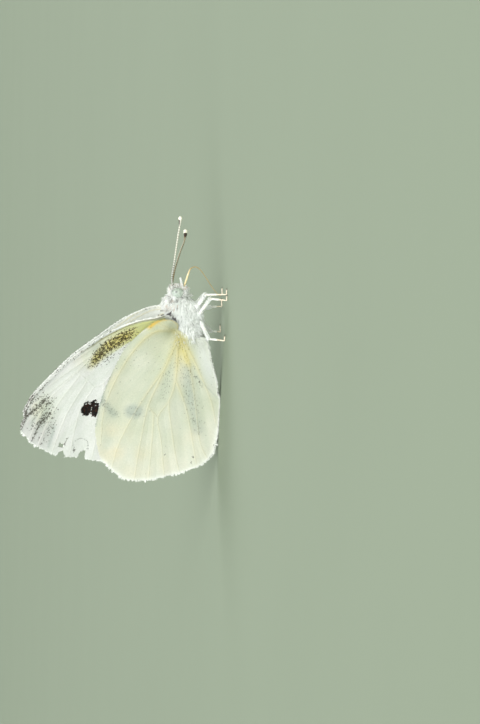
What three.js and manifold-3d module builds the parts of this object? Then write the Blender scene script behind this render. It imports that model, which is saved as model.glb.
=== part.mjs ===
// A small white butterfly at rest, life size, with its wings closed over its back.
// Millimetres. X points forward, Y to the butterfly's left and Z up, with the floor at Z = 0.

import * as THREE from 'three';
import { mergeVertices } from 'three/addons/utils/BufferGeometryUtils.js';
import Module from 'manifold-3d';

const wasm = await Module();
wasm.setup();

// ---------------------------------------------------------------- driving dimensions

const WING_THICKNESS = 0.5;
const WING_SPACING = 0.66; // from the middle of a forewing to the middle of the hindwing beside it
const FOREWING_OFFSET = 0.33; // from the plane between the wings to a forewing's middle, at the tip
const CLEARANCE = 0.12; // left between a piece and the socket cut for it

// The forewings part from each other at the shoulder, where they meet the thorax.
const SHOULDER_FLARE = { x: 3.0, z: 8.0, length: 4.2, height: 6.0, depth: 1.4 };

// The hindwings bulge around the abdomen, which lies in the gutter between them.
const ABDOMEN_GUTTER = { x: -3.5, z: 3.2, length: 4.5, height: 2.6, depth: 0.4 };

const HEAD_CENTRE = new THREE.Vector3(5.3, 0, 5.9);
const HEAD_RADII = new THREE.Vector3(0.98, 0.86, 1.18);
const HEAD_TURN = THREE.MathUtils.degToRad(18); // towards the left
const EYE_CENTRE = new THREE.Vector3(-0.12, 0.66, 0.08); // from the head's centre
const EYE_RADII = new THREE.Vector3(0.64, 0.46, 0.76);

const FEELER_RADIUS = 0.25;
const CLUB_RADIUS = 0.36;
const CLUB_LENGTH = 1.5;
const PALP_RADIUS = 0.28;
const TONGUE_RADIUS = 0.25;

const THIGH_RADIUS = 0.31;
const SHIN_RADIUS = 0.26;
const FOOT_RADIUS = 0.26;
const FOOT_HEIGHT = 0.24; // of a foot's middle, a little under its radius, so that it has a flat sole
const TOE_LENGTH = 0.7;

// ---------------------------------------------------------------- finishes

function finish(colour, roughness) {
  return new THREE.MeshStandardMaterial({ color: colour, roughness, metalness: 0 });
}

const WHITE_FUR = { colour: 0xe9ebe6, roughness: 0.9 };
const WING_CREAM = { colour: 0xe3e9cf, roughness: 0.75 };
const WING_WHITE = { colour: 0xeef2e8, roughness: 0.75 };
const EYE_GREEN = { colour: 0xc4d2c2, roughness: 0.3 };
const FEELER_BROWN = { colour: 0x8b7560, roughness: 0.6 };
const TONGUE_AMBER = { colour: 0xb9975a, roughness: 0.4 };
const LEG_WHITE = { colour: 0xe8e4d8, roughness: 0.7 };

// ---------------------------------------------------------------- making solids

// Joins a row of rings into one closed body. All rings have as many points as each other,
// and the two ends are single points.
function loft(firstPoint, rings, lastPoint) {
  const sides = rings[0].length;
  const points = [firstPoint, ...rings.flat(), lastPoint];
  const last = points.length - 1;
  const triangles = [];
  for (let side = 0; side < sides; side += 1) {
    const next = (side + 1) % sides;
    triangles.push([0, 1 + next, 1 + side]);
    for (let ring = 0; ring < rings.length - 1; ring += 1) {
      const here = 1 + ring * sides;
      const beyond = here + sides;
      triangles.push([here + side, here + next, beyond + side]);
      triangles.push([here + next, beyond + next, beyond + side]);
    }
    const end = 1 + (rings.length - 1) * sides;
    triangles.push([last, end + side, end + next]);
  }
  return closedGeometry(points, triangles);
}

// Makes a geometry of closed triangles and turns its faces outwards.
function closedGeometry(points, triangles) {
  let volume = 0;
  for (const [a, b, c] of triangles) {
    volume += points[a].dot(new THREE.Vector3().crossVectors(points[b], points[c]));
  }
  const facingOut = volume > 0 ? triangles : triangles.map(([a, b, c]) => [a, c, b]);
  const geometry = new THREE.BufferGeometry();
  const positions = points.flatMap((point) => point.toArray());
  geometry.setAttribute('position', new THREE.Float32BufferAttribute(positions, 3));
  geometry.setIndex(facingOut.flat());
  return geometry;
}

function toManifold(geometry) {
  const bare = geometry.clone();
  bare.deleteAttribute('normal');
  bare.deleteAttribute('uv');
  const merged = mergeVertices(bare);
  return new wasm.Manifold(new wasm.Mesh({
    numProp: 3,
    vertProperties: Float32Array.from(merged.attributes.position.array),
    triVerts: Uint32Array.from(merged.index.array),
  }));
}

function cut(geometry, cutters) {
  let solid = toManifold(geometry);
  for (const cutter of cutters) {
    solid = solid.subtract(toManifold(cutter));
  }
  const mesh = solid.getMesh();
  const result = new THREE.BufferGeometry();
  result.setAttribute('position', new THREE.Float32BufferAttribute(mesh.vertProperties, 3));
  result.setIndex(Array.from(mesh.triVerts));
  return result;
}

function ellipsoid(radii, across, down) {
  return new THREE.SphereGeometry(1, across, down).scale(radii.x, radii.y, radii.z);
}

// A round limb along a path. radii has one value for each point of the path.
function limb(path, radii, sides) {
  const directions = path.map((point, i) => {
    const before = path[Math.max(i - 1, 0)];
    const after = path[Math.min(i + 1, path.length - 1)];
    return after.clone().sub(before).normalize();
  });
  const across = new THREE.Vector3(0, 1, 0).cross(directions[0]).normalize();
  const rings = path.map((point, i) => {
    const direction = directions[i];
    across.addScaledVector(direction, -across.dot(direction)).normalize();
    const over = new THREE.Vector3().crossVectors(direction, across);
    return Array.from({ length: sides }, (_, side) => {
      const turn = (2 * Math.PI * (side + 0.5)) / sides;
      return point.clone()
        .addScaledVector(across, radii[i] * Math.cos(turn))
        .addScaledVector(over, radii[i] * Math.sin(turn));
    });
  });
  const end = path.length - 1;
  const first = path[0].clone().addScaledVector(directions[0], -0.4 * radii[0]);
  const last = path[end].clone().addScaledVector(directions[end], 0.4 * radii[end]);
  return loft(first, rings, last);
}

// Flattens whatever would reach below the floor, as a sole is flattened.
function aboveFloor(geometry) {
  const position = geometry.attributes.position;
  for (let i = 0; i < position.count; i += 1) {
    position.setZ(i, Math.max(position.getZ(i), 0));
  }
  return geometry;
}

function points3(list) {
  return list.map(([x, y, z]) => new THREE.Vector3(x, y, z));
}

function smoothPath(list, count) {
  return new THREE.CatmullRomCurve3(points3(list), false, 'centripetal').getSpacedPoints(count);
}

// ---------------------------------------------------------------- trunk

// Each station of the trunk gives the place along X, the top, the underside and the width.
const THORAX_STATIONS = [
  { x: 4.8, top: 7.0, under: 4.7, width: 1.8 },
  { x: 4.3, top: 7.65, under: 3.95, width: 2.5 },
  { x: 3.5, top: 7.9, under: 3.2, width: 3.1 },
  { x: 2.6, top: 7.75, under: 2.95, width: 3.35 },
  { x: 1.7, top: 7.3, under: 2.7, width: 3.35 },
  { x: 0.8, top: 6.6, under: 2.6, width: 3.0 },
  { x: 0.1, top: 5.85, under: 2.75, width: 2.5 },
  { x: -0.35, top: 5.3, under: 3.0, width: 2.0 },
];

const ABDOMEN_LENGTH = 8.2;
const ABDOMEN_SEGMENTS = 7;
const ABDOMEN_FRONT = new THREE.Vector3(-0.6, 0, 4.1);
const ABDOMEN_SLOPE = 0.21; // fall for each millimetre backwards
const ABDOMEN_WIDEST = 1.14; // half its width

function section(x, middle, halfHeight, halfWidth, sides) {
  return Array.from({ length: sides }, (_, side) => {
    const turn = (2 * Math.PI * side) / sides;
    return new THREE.Vector3(x, halfWidth * Math.sin(turn), middle + halfHeight * Math.cos(turn));
  });
}

// The thorax has a hollow in front for the head, and a socket for each wing and each leg.
function thoraxGeometry() {
  const rings = THORAX_STATIONS.map(({ x, top, under, width }) => (
    section(x, (top + under) / 2, (top - under) / 2, width / 2, 20)
  ));
  const body = loft(new THREE.Vector3(5, 0, 5.85), rings, new THREE.Vector3(-0.45, 0, 4.15));
  const headHollows = [
    ellipsoid(HEAD_RADII.clone().addScalar(CLEARANCE), 20, 14),
    placedEye(-1, CLEARANCE),
    placedEye(1, CLEARANCE),
  ].map((hollow) => hollow.rotateZ(HEAD_TURN).translate(...HEAD_CENTRE));
  const wingSockets = [-1, 1].flatMap((side) => [
    forewingGeometry(side, WING_THICKNESS + 2 * CLEARANCE),
    hindwingGeometry(side, WING_THICKNESS + 2 * CLEARANCE),
  ]);
  const legSockets = LEGS.map((leg) => legGeometry(leg, CLEARANCE));
  return cut(body, [...headHollows, ...wingSockets, ...legSockets]);
}

// The abdomen swells behind the waist, tapers to the tail and steps in at each segment's edge.
function abdomenGeometry() {
  const ringsPerSegment = 3;
  const count = ABDOMEN_SEGMENTS * ringsPerSegment;
  const rings = [];
  for (let i = 0; i <= count; i += 1) {
    const along = i / count;
    const swell = Math.sqrt(Math.sin(Math.PI * (0.14 + 0.8 * along)));
    const step = i % ringsPerSegment === 0 ? 0.94 : 1;
    const radius = ABDOMEN_WIDEST * swell * step;
    const x = ABDOMEN_FRONT.x - ABDOMEN_LENGTH * along;
    const middle = ABDOMEN_FRONT.z - ABDOMEN_SLOPE * ABDOMEN_LENGTH * along;
    rings.push(section(x, middle, radius * 0.98, radius, 16));
  }
  const tail = new THREE.Vector3(
    ABDOMEN_FRONT.x - ABDOMEN_LENGTH - 0.2,
    0,
    ABDOMEN_FRONT.z - ABDOMEN_SLOPE * ABDOMEN_LENGTH,
  );
  return loft(new THREE.Vector3(-0.5, 0, 4.12), rings, tail);
}

// ---------------------------------------------------------------- head

// The feelers, palps and tongue are given in the head's own frame, from its centre.
const RIGHT_FEELER = [
  [0.8, -0.35, 0.7], [1.2, -0.65, 0.82], [2.05, -1.32, 0.88], [3.7, -2.42, 0.74],
  [6.7, -4.05, 0.5], [8.7, -5.02, 0.3], [9.75, -5.6, 0.3],
];
const LEFT_FEELER = [
  [0.8, 0.35, 0.7], [1.2, 0.65, 0.66], [2.7, 2.15, 0.27],
  [4.7, 4.75, -0.55], [5.9, 6.4, -1.15], [6.8, 7.3, -1.4],
];
const RIGHT_PALP = [[0.6, -0.28, -0.72], [1.2, -0.31, -0.55], [1.95, -0.36, -0.25]];

// The tongue leaves the head forwards, bends over and comes down to the floor between the legs.
const TONGUE = [
  [0.55, 0, -0.98], [1.5, 0, -1.12], [2.3, 0.02, -1.26], [2.84, 0.06, -1.52], [3.08, 0.12, -1.95],
  [2.96, 0.18, -2.45], [2.3, 0.3, -3.1], [0.6, 0.62, -4.25], [-0.25, 0.78, -4.95], [-0.6, 0.85, -5.35],
];

function eyeGeometry(swelling = 0) {
  return ellipsoid(EYE_RADII.clone().addScalar(swelling), 16, 12);
}

function placedEye(side, swelling) {
  return eyeGeometry(swelling).translate(EYE_CENTRE.x, side * EYE_CENTRE.y, EYE_CENTRE.z);
}

function feelerGeometry(route, swelling = 0) {
  const count = 15;
  const path = smoothPath(route, count);
  const length = new THREE.CatmullRomCurve3(points3(route)).getLength();
  const radii = path.map((_, i) => {
    const fromTip = length * (1 - i / count);
    const club = Math.max(0, 1 - Math.abs(fromTip - CLUB_LENGTH / 2) / (CLUB_LENGTH * 0.75));
    return FEELER_RADIUS + (CLUB_RADIUS - FEELER_RADIUS) * Math.sqrt(club) + swelling;
  });
  return limb(path, radii, 8);
}

function palpGeometry(side, swelling = 0) {
  const path = points3(RIGHT_PALP.map(([x, y, z]) => [x, -side * y, z]));
  const radii = [PALP_RADIUS, PALP_RADIUS, PALP_RADIUS * 0.9].map((radius) => radius + swelling);
  return limb(path, radii, 8);
}

function tongueGeometry(swelling = 0) {
  const path = smoothPath(TONGUE, 22);
  return limb(path, path.map(() => TONGUE_RADIUS + swelling), 8);
}

// The head has a socket for each thing that grows from it.
function headGeometry() {
  const sockets = [
    placedEye(-1, CLEARANCE),
    placedEye(1, CLEARANCE),
    feelerGeometry(RIGHT_FEELER, CLEARANCE),
    feelerGeometry(LEFT_FEELER, CLEARANCE),
    palpGeometry(-1, CLEARANCE),
    palpGeometry(1, CLEARANCE),
    tongueGeometry(CLEARANCE),
  ];
  return cut(ellipsoid(HEAD_RADII, 20, 14), sockets);
}

// ---------------------------------------------------------------- legs

// Hip, knee and heel of each leg. The ankle lies between knee and heel, where the shin ends.
const LEGS = [
  { name: 'leg_front_right', hip: [3.5, -0.7, 3.5], knee: [5.5, -1.5, 2.6], heel: [6.2, -2.9] },
  { name: 'leg_mid_right', hip: [2.6, -0.8, 3.15], knee: [5.35, -2.35, 2.05], heel: [5.7, -3.6] },
  { name: 'leg_hind_right', hip: [1.5, -0.65, 2.95], knee: [-0.1, -2.4, 2.0], heel: [0.1, -3.3] },
  { name: 'leg_front_left', hip: [3.4, 0.7, 3.5], knee: [4.1, 1.75, 2.5], heel: [3.7, 2.9] },
  { name: 'leg_mid_left', hip: [2.6, 0.75, 3.15], knee: [2.4, 1.9, 1.65], heel: [2.2, 2.7] },
  { name: 'leg_hind_left', hip: [1.3, 0.7, 2.95], knee: [-1.2, 2.55, 1.35], heel: [-1.5, 3.1] },
];
const ANKLE_SHARE = 0.5; // of the way from knee to heel

function legGeometry({ hip, knee, heel }, swelling = 0) {
  const [hipPoint, kneePoint] = points3([hip, knee]);
  const heelPoint = new THREE.Vector3(heel[0], heel[1], FOOT_HEIGHT);
  const anklePoint = kneePoint.clone().lerp(heelPoint, ANKLE_SHARE);
  const outwards = heelPoint.clone().sub(kneePoint).setZ(0).normalize();
  const forwards = new THREE.Vector3(1, 0, 0);
  const toeDirection = outwards.multiplyScalar(0.5).add(forwards).normalize();
  const toePoint = heelPoint.clone().addScaledVector(toeDirection, TOE_LENGTH);
  const path = [
    hipPoint,
    hipPoint.clone().lerp(kneePoint, 0.45),
    hipPoint.clone().lerp(kneePoint, 0.86),
    kneePoint.clone().lerp(anklePoint, 0.16),
    anklePoint,
    anklePoint.clone().lerp(heelPoint, 0.75),
    heelPoint.clone().lerp(toePoint, 0.2),
    toePoint,
  ];
  const radii = [
    THIGH_RADIUS * 0.85, THIGH_RADIUS, SHIN_RADIUS, SHIN_RADIUS, SHIN_RADIUS,
    FOOT_RADIUS, FOOT_RADIUS, FOOT_RADIUS,
  ].map((radius) => radius + swelling);
  return aboveFloor(limb(path, radii, 8));
}

// ---------------------------------------------------------------- wings

// A wing's outline runs round it in stretches, each a smooth curve through [x, z] points.
const FOREWING_STRETCHES = {
  costa: [
    [2.45, 6.6], [2.65, 7.5], [2.4, 9.1], [1.85, 10.8], [0.85, 12.9], [-0.75, 15.2],
    [-3.95, 19.0], [-7.15, 21.85], [-9.15, 23.5], [-11.0, 24.4], [-13.9, 25.2],
  ],
  outerMargin: [
    [-13.9, 25.2], [-14.75, 24.5], [-15.75, 23.6], [-16.3, 22.6], [-17.0, 21.4],
    [-17.45, 19.6], [-17.6, 18.0], [-17.95, 15.8], [-18.1, 14.0], [-17.9, 12.4],
  ],
  innerMargin: [[-17.9, 12.4], [-14.0, 11.3], [-7.0, 9.3], [-1.0, 7.3], [1.5, 6.3]],
  root: [[1.5, 6.3], [2.45, 6.6]],
};
const FOREWING_CENTRE = [-8.0, 15.6];

const HINDWING_STRETCHES = {
  costa: [
    [0.6, 5.75], [1.6, 5.75], [2.25, 6.5], [2.4, 7.6], [2.1, 8.7], [1.25, 9.65], [-0.8, 11.35],
    [-2.5, 12.55], [-5.25, 13.7], [-8.4, 14.85], [-11.6, 15.5], [-14.0, 15.65], [-17.7, 14.9],
  ],
  outerMargin: [
    [-17.7, 14.9], [-19.6, 12.95], [-20.4, 11.8], [-20.6, 9.6], [-20.4, 8.2], [-19.95, 6.5],
    [-19.15, 3.85], [-18.1, 1.75], [-16.6, 0.55], [-15.0, 0.2], [-13.4, 0],
  ],
  restingEdge: [[-13.4, 0], [-9.0, 0]],
  innerMargin: [[-9.0, 0], [-8.2, 0.3], [-6.6, 0.5], [-4.4, 1.1], [-2.2, 1.65], [-0.75, 2.1]],
  root: [[-0.75, 2.1], [-0.5, 3.3], [-0.1, 4.7], [0.6, 5.75]],
};
const HINDWING_CENTRE = [-8.5, 7.8];

const RING_SCALES = [0.3, 0.56, 0.76, 0.9, 1];

// Places where the forewings' outer margins are broken, alike on both sides.
const BITES = [
  { x: -15.95, z: 19.93, width: 0.6, height: 0.5 },
  { x: -17.05, z: 19.72, width: 0.8, height: 0.55 },
  { x: -16.98, z: 17.05, width: 1.1, height: 0.38 },
  { x: -12.3, z: 24.95, width: 0.5, height: 0.3 },
];

function forewingOffset(x, z) {
  const along = (x - SHOULDER_FLARE.x) / SHOULDER_FLARE.length;
  const up = (z - SHOULDER_FLARE.z) / SHOULDER_FLARE.height;
  return FOREWING_OFFSET + SHOULDER_FLARE.depth * Math.exp(-along * along - up * up);
}

function hindwingOffset(x, z) {
  const along = (x - ABDOMEN_GUTTER.x) / ABDOMEN_GUTTER.length;
  const up = (z - ABDOMEN_GUTTER.z) / ABDOMEN_GUTTER.height;
  const bulge = ABDOMEN_GUTTER.depth * Math.exp(-along * along - up * up);
  return forewingOffset(x, z) + WING_SPACING + bulge;
}

function wingOutline(stretches) {
  return Object.values(stretches).flatMap((stretch) => {
    const curve = new THREE.SplineCurve(stretch.map(([x, z]) => new THREE.Vector2(x, z)));
    const count = Math.max(1, Math.round(curve.getLength() / 1.2));
    return curve.getSpacedPoints(count).slice(0, -1);
  });
}

// A wing is a curved sheet: rings of its outline shrink towards its middle on both faces.
function wingGeometry(stretches, centre, offset, side, thickness) {
  const outline = wingOutline(stretches);
  const middle = new THREE.Vector2(...centre);
  const onFace = (point, half) => (
    new THREE.Vector3(point.x, side * (offset(point.x, point.y) + half), point.y)
  );
  const ring = (scale, half) => (
    outline.map((point) => onFace(middle.clone().lerp(point, scale), half))
  );
  const half = thickness / 2;
  const rings = [
    ...RING_SCALES.map((scale) => ring(scale, half)),
    ...RING_SCALES.toReversed().map((scale) => ring(scale, -half)),
  ];
  return loft(onFace(middle, half), rings, onFace(middle, -half));
}

function biteCutter({ x, z, width, height }) {
  return new THREE.CylinderGeometry(0.5, 0.5, 4, 9).scale(width, 1, height).translate(x, 0, z);
}

function forewingGeometry(side, thickness = WING_THICKNESS) {
  return wingGeometry(FOREWING_STRETCHES, FOREWING_CENTRE, forewingOffset, side, thickness);
}

function hindwingGeometry(side, thickness = WING_THICKNESS) {
  return wingGeometry(HINDWING_STRETCHES, HINDWING_CENTRE, hindwingOffset, side, thickness);
}

// ---------------------------------------------------------------- assembly

function addPiece(parent, name, geometry, { colour, roughness }) {
  const piece = new THREE.Mesh(geometry, finish(colour, roughness));
  piece.name = name;
  parent.add(piece);
  return piece;
}

const SIDES = [{ label: 'right', side: -1 }, { label: 'left', side: 1 }];

const head = new THREE.Group();
head.position.copy(HEAD_CENTRE);
head.rotation.z = HEAD_TURN;
addPiece(head, 'head', headGeometry(), WHITE_FUR);
for (const { label, side } of SIDES) {
  const eye = addPiece(head, `eye_${label}`, eyeGeometry(), EYE_GREEN);
  eye.position.set(EYE_CENTRE.x, side * EYE_CENTRE.y, EYE_CENTRE.z);
  addPiece(head, `palp_${label}`, palpGeometry(side), WHITE_FUR);
}
addPiece(head, 'antenna_right', feelerGeometry(RIGHT_FEELER), FEELER_BROWN);
addPiece(head, 'antenna_left', feelerGeometry(LEFT_FEELER), FEELER_BROWN);
addPiece(head, 'proboscis', tongueGeometry(), TONGUE_AMBER);

const trunk = new THREE.Group();
addPiece(trunk, 'thorax', thoraxGeometry(), WHITE_FUR);
addPiece(trunk, 'abdomen', abdomenGeometry(), WHITE_FUR);

const legs = new THREE.Group();
for (const leg of LEGS) {
  addPiece(legs, leg.name, legGeometry(leg), LEG_WHITE);
}

const wings = new THREE.Group();
for (const { label, side } of SIDES) {
  const forewing = cut(forewingGeometry(side), BITES.map(biteCutter));
  addPiece(wings, `wing_fore_${label}`, forewing, WING_WHITE);
  addPiece(wings, `wing_hind_${label}`, hindwingGeometry(side), WING_CREAM);
}

// The origin is the middle of the base of the box round the whole butterfly.
const butterfly = new THREE.Group();
butterfly.add(head, trunk, legs, wings);
const box = new THREE.Box3().setFromObject(butterfly, true);
const boxMiddle = box.getCenter(new THREE.Vector3());
butterfly.position.set(-boxMiddle.x, -boxMiddle.y, -box.min.z);

const group = new THREE.Group();
group.add(butterfly);

export default group;
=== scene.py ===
# %% [markdown]
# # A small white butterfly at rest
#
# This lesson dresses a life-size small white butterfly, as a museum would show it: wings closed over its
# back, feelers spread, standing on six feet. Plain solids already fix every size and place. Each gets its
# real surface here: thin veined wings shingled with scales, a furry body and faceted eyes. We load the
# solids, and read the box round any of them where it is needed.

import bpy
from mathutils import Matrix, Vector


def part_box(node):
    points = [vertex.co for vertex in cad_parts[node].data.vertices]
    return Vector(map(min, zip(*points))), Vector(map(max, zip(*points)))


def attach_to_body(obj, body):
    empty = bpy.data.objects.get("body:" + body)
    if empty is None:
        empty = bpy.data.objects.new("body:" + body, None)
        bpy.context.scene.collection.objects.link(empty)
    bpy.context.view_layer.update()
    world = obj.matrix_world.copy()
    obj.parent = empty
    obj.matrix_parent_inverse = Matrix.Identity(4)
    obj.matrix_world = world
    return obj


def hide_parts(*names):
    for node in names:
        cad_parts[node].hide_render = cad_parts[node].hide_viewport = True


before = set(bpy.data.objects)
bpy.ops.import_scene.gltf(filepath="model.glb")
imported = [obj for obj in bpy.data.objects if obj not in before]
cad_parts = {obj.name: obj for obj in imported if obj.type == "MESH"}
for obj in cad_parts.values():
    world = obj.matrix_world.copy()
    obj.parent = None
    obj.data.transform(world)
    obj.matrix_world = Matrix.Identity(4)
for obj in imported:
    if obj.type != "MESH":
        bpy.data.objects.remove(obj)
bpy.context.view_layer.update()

# %% [markdown]
# ## Units and axes
#
# A butterfly is easier to think about in millimetres, from a zero between its feet: X runs forward to the
# feelers, Y to its left and Z up. The solids are shifted from that, and we read the shift from the abdomen:
# its front end is 0.5 mm behind our zero and its middle is on the body's plane.

# %% Units and axes
import math

import bmesh
import bpy
import numpy as np
from mathutils import Matrix, Vector
from mathutils.geometry import delaunay_2d_cdt

MM = 0.001
ABDOMEN_FRONT_X = -0.5

abdomen_low, abdomen_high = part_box("abdomen")
SHIFT = np.array([
    abdomen_high.x / MM - ABDOMEN_FRONT_X,
    (abdomen_low.y + abdomen_high.y) / 2 / MM,
    0.0,
])
print("shift in mm:", SHIFT.round(3))

# %% [markdown]
# ## Turning arrays into pieces
#
# Scales and hairs come in tens of thousands, so meshes are made from whole arrays rather than one face at a
# time. Each point may also carry named values from 0 to 1, such as how golden the wing is there. The
# materials read them, so the skin and the coat above it show the same markings.

# %% Turning arrays into pieces
def make_piece(name, points, faces, values=None, patches=None):
    """A smooth mesh from points in millimetres and face arrays. patches are places on a coat's flat map."""
    sizes = np.concatenate([np.full(len(group), group.shape[1]) for group in faces])
    corners = np.concatenate([group.ravel() for group in faces]).astype(np.int32)
    mesh = bpy.data.meshes.new(name)
    mesh.vertices.add(len(points))
    mesh.vertices.foreach_set("co", ((points + SHIFT) * MM).astype(np.float32).ravel())
    mesh.loops.add(len(corners))
    mesh.loops.foreach_set("vertex_index", corners)
    mesh.polygons.add(len(sizes))
    mesh.polygons.foreach_set("loop_start", (np.cumsum(sizes) - sizes).astype(np.int32))
    mesh.polygons.foreach_set("use_smooth", np.ones(len(sizes), bool))
    mesh.update(calc_edges=True)
    for label, numbers in (values or {}).items():
        layer = mesh.attributes.new(label, "FLOAT", "POINT")
        layer.data.foreach_set("value", np.asarray(numbers, np.float32))
    if patches is not None:
        flat_map = mesh.uv_layers.new(name="OFBake")
        flat_map.uv.foreach_set("vector", patches[corners].astype(np.float32).ravel())
    piece = bpy.data.objects.new(name, mesh)
    bpy.context.scene.collection.objects.link(piece)
    return piece


def attach(piece, slot, materials, *nodes):
    """Gives a piece its materials, hangs it from the body's root and hides the solids that it replaces."""
    for material in materials:
        piece.data.materials.append(material)
    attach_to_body(piece, "root")
    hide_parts(*nodes)
    triangles = sum(len(polygon.vertices) - 2 for polygon in piece.data.polygons)
    print(f"{piece.name}: {triangles} triangles")
    return piece


def unit(vectors):
    return vectors / np.maximum(np.linalg.norm(vectors, axis=-1, keepdims=True), 1e-9)


# %% [markdown]
# ## Smooth lines
#
# Edges, veins, legs and feelers all run along smooth lines through a few chosen points. A Catmull-Rom curve
# passes through every one of its points, so they can be read off a drawing.

# %% Smooth lines
SPAN_STEPS = 20  # fine places between two knots


def smooth_line(knots, step):
    """Evenly spaced points, about a step apart, on a smooth curve through the knots."""
    knots = np.asarray(knots, float)
    padded = np.vstack([knots[:1], knots, knots[-1:]])
    t = np.linspace(0, 1, SPAN_STEPS, endpoint=False)[:, None]
    spans = []
    for a, b, c, d in zip(padded, padded[1:], padded[2:], padded[3:]):
        curve = 2 * b + (c - a) * t + (2 * a - 5 * b + 4 * c - d) * t**2 + (3 * b - a - 3 * c + d) * t**3
        spans.append(curve / 2)
    fine = np.vstack([*spans, knots[-1:]])
    reached = np.concatenate([[0], np.cumsum(np.linalg.norm(np.diff(fine, axis=0), axis=1))])
    even = np.linspace(0, reached[-1], max(2, round(reached[-1] / step) + 1))
    return np.stack([np.interp(even, reached, column) for column in fine.T], axis=1)


def inside(points, loop):
    """Which flat points lie inside a closed loop."""
    x, z = points.T
    found = np.zeros(len(points), bool)
    for (ax, az), (bx, bz) in zip(loop, np.roll(loop, -1, axis=0)):
        if az != bz:
            found ^= ((az > z) != (bz > z)) & (x < ax + (z - az) * (bx - ax) / (bz - az))
    return found


def distance_to(points, line):
    """How far flat points are from a line through many points."""
    best = np.full(len(points), 1e9)
    for a, b in zip(line, line[1:]):
        share = np.clip((points - a) @ (b - a) / ((b - a) @ (b - a)), 0, 1)
        best = np.minimum(best, np.linalg.norm(points - a - share[:, None] * (b - a), axis=1))
    return best


def quarter_left(directions):
    """Flat directions turned a quarter to their left."""
    return directions[:, ::-1] * (-1, 1)


def closed(loop):
    return np.vstack([loop, loop[:1]])


def in_any(points, loops):
    """Which flat points lie inside at least one of the loops."""
    found = np.zeros(len(points), bool)
    for loop in loops:
        found |= inside(points, loop)
    return found


# %% [markdown]
# ## The wings' outlines
#
# A butterfly's forewing is a long triangle and its hindwing a rounded fan. We draw each flat, in X and Z,
# edge by edge: the stiff leading edge or costa, the fringed outer margin, and the inner margin. Closed
# wings hang nearly upright side by side, so the drawing is only bent a little sideways: out at the
# shoulder, where the wings meet the thorax, and out round the abdomen.

# %% The wings' outlines
FOREWING_EDGES = {
    "costa": [
        [2.45, 6.6], [2.68, 7.5], [2.45, 9.1], [1.9, 10.82], [0.9, 12.95], [-0.7, 15.26],
        [-3.88, 19.08], [-7.06, 21.96], [-9.06, 23.62], [-10.5, 24.36], [-11.55, 24.82], [-12.0, 24.62],
        [-12.5, 24.7], [-13.3, 25.04], [-13.9, 25.2],
    ],
    "outer": [
        [-13.9, 25.2], [-14.75, 24.5], [-15.75, 23.6], [-16.3, 22.6], [-17.0, 21.4],
        [-17.45, 19.6], [-17.6, 18.0], [-17.95, 15.8], [-18.1, 14.0], [-17.9, 12.4],
    ],
    "inner": [[-17.9, 12.4], [-14.0, 11.3], [-7.0, 9.3], [-1.0, 7.3], [1.5, 6.3]],
    "root": [[1.5, 6.3], [2.45, 6.6]],
}
HINDWING_EDGES = {
    "costa": [
        [0.6, 5.75], [1.6, 5.75], [2.25, 6.5], [2.4, 7.6], [2.1, 8.7], [1.25, 9.65], [-0.8, 11.35],
        [-2.5, 12.55], [-5.25, 13.7], [-8.4, 14.85], [-11.6, 15.5], [-14.0, 15.65], [-17.7, 14.9],
    ],
    "outer": [
        [-17.7, 14.9], [-19.6, 12.95], [-20.4, 11.8], [-20.6, 9.6], [-20.4, 8.2], [-19.95, 6.5],
        [-19.15, 3.85], [-18.1, 1.75], [-16.6, 0.55], [-15.0, 0.2], [-13.4, 0],
    ],
    "inner": [
        [-13.4, 0], [-11.2, 0], [-9.0, 0], [-8.2, 0.3], [-6.6, 0.5], [-4.4, 1.1], [-2.2, 1.65],
        [-0.75, 2.1],
    ],
    "root": [[-0.75, 2.1], [-0.5, 3.3], [-0.1, 4.7], [0.6, 5.75]],
}
EDGE_STEP = 0.22
# How far the sheet stops short of the outline, which the fringe fills.
EDGE_INSETS = {"costa": 0.06, "outer": 0.24, "inner": 0.2, "root": 0.0}
INSET_ROUNDS = 6  # of evening out the steps between one inset and the next

FOREWING_OFFSET = 0.33
WING_SPACING = 0.66
SHOULDER_FLARE = {"x": 3.0, "z": 8.0, "length": 4.2, "height": 6.0, "depth": 1.4}
ABDOMEN_GUTTER = {"x": -3.5, "z": 3.2, "length": 4.5, "height": 2.6, "depth": 0.4}


def bulge(x, z, shape):
    along = (x - shape["x"]) / shape["length"]
    up = (z - shape["z"]) / shape["height"]
    return shape["depth"] * np.exp(-along**2 - up**2)


def forewing_offset(x, z):  # from the body's middle plane
    return FOREWING_OFFSET + bulge(x, z, SHOULDER_FLARE)


def hindwing_offset(x, z):
    return forewing_offset(x, z) + WING_SPACING + bulge(x, z, ABDOMEN_GUTTER)


def wing_outline(edges):
    return np.vstack([smooth_line(knots, EDGE_STEP)[:-1] for knots in edges.values()])


def sheet_outline(edges):
    """The outline moved inwards, by more along the fringed margins."""
    outline = wing_outline(edges)
    counts = [len(smooth_line(knots, EDGE_STEP)) - 1 for knots in edges.values()]
    insets = np.repeat([EDGE_INSETS[name] for name in edges], counts)
    for _ in range(INSET_ROUNDS):
        insets = (np.roll(insets, 1) + insets + np.roll(insets, -1)) / 3
    along = unit(np.roll(outline, -1, axis=0) - np.roll(outline, 1, axis=0))
    return outline + quarter_left(along) * insets[:, None]


for name, edges in {"forewing": FOREWING_EDGES, "hindwing": HINDWING_EDGES}.items():
    span = np.ptp(wing_outline(edges), axis=0)
    print(name, "is", span.round(1), "mm in X and Z")

# %% [markdown]
# ## Veins
#
# Veins are the wing's ribs: hollow tubes that leave the root, run round a long closed cell and fan out to
# the margin. Their pattern tells the family of a butterfly, so they are drawn one by one, as smooth lines
# that get thinner towards their ends.

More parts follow.
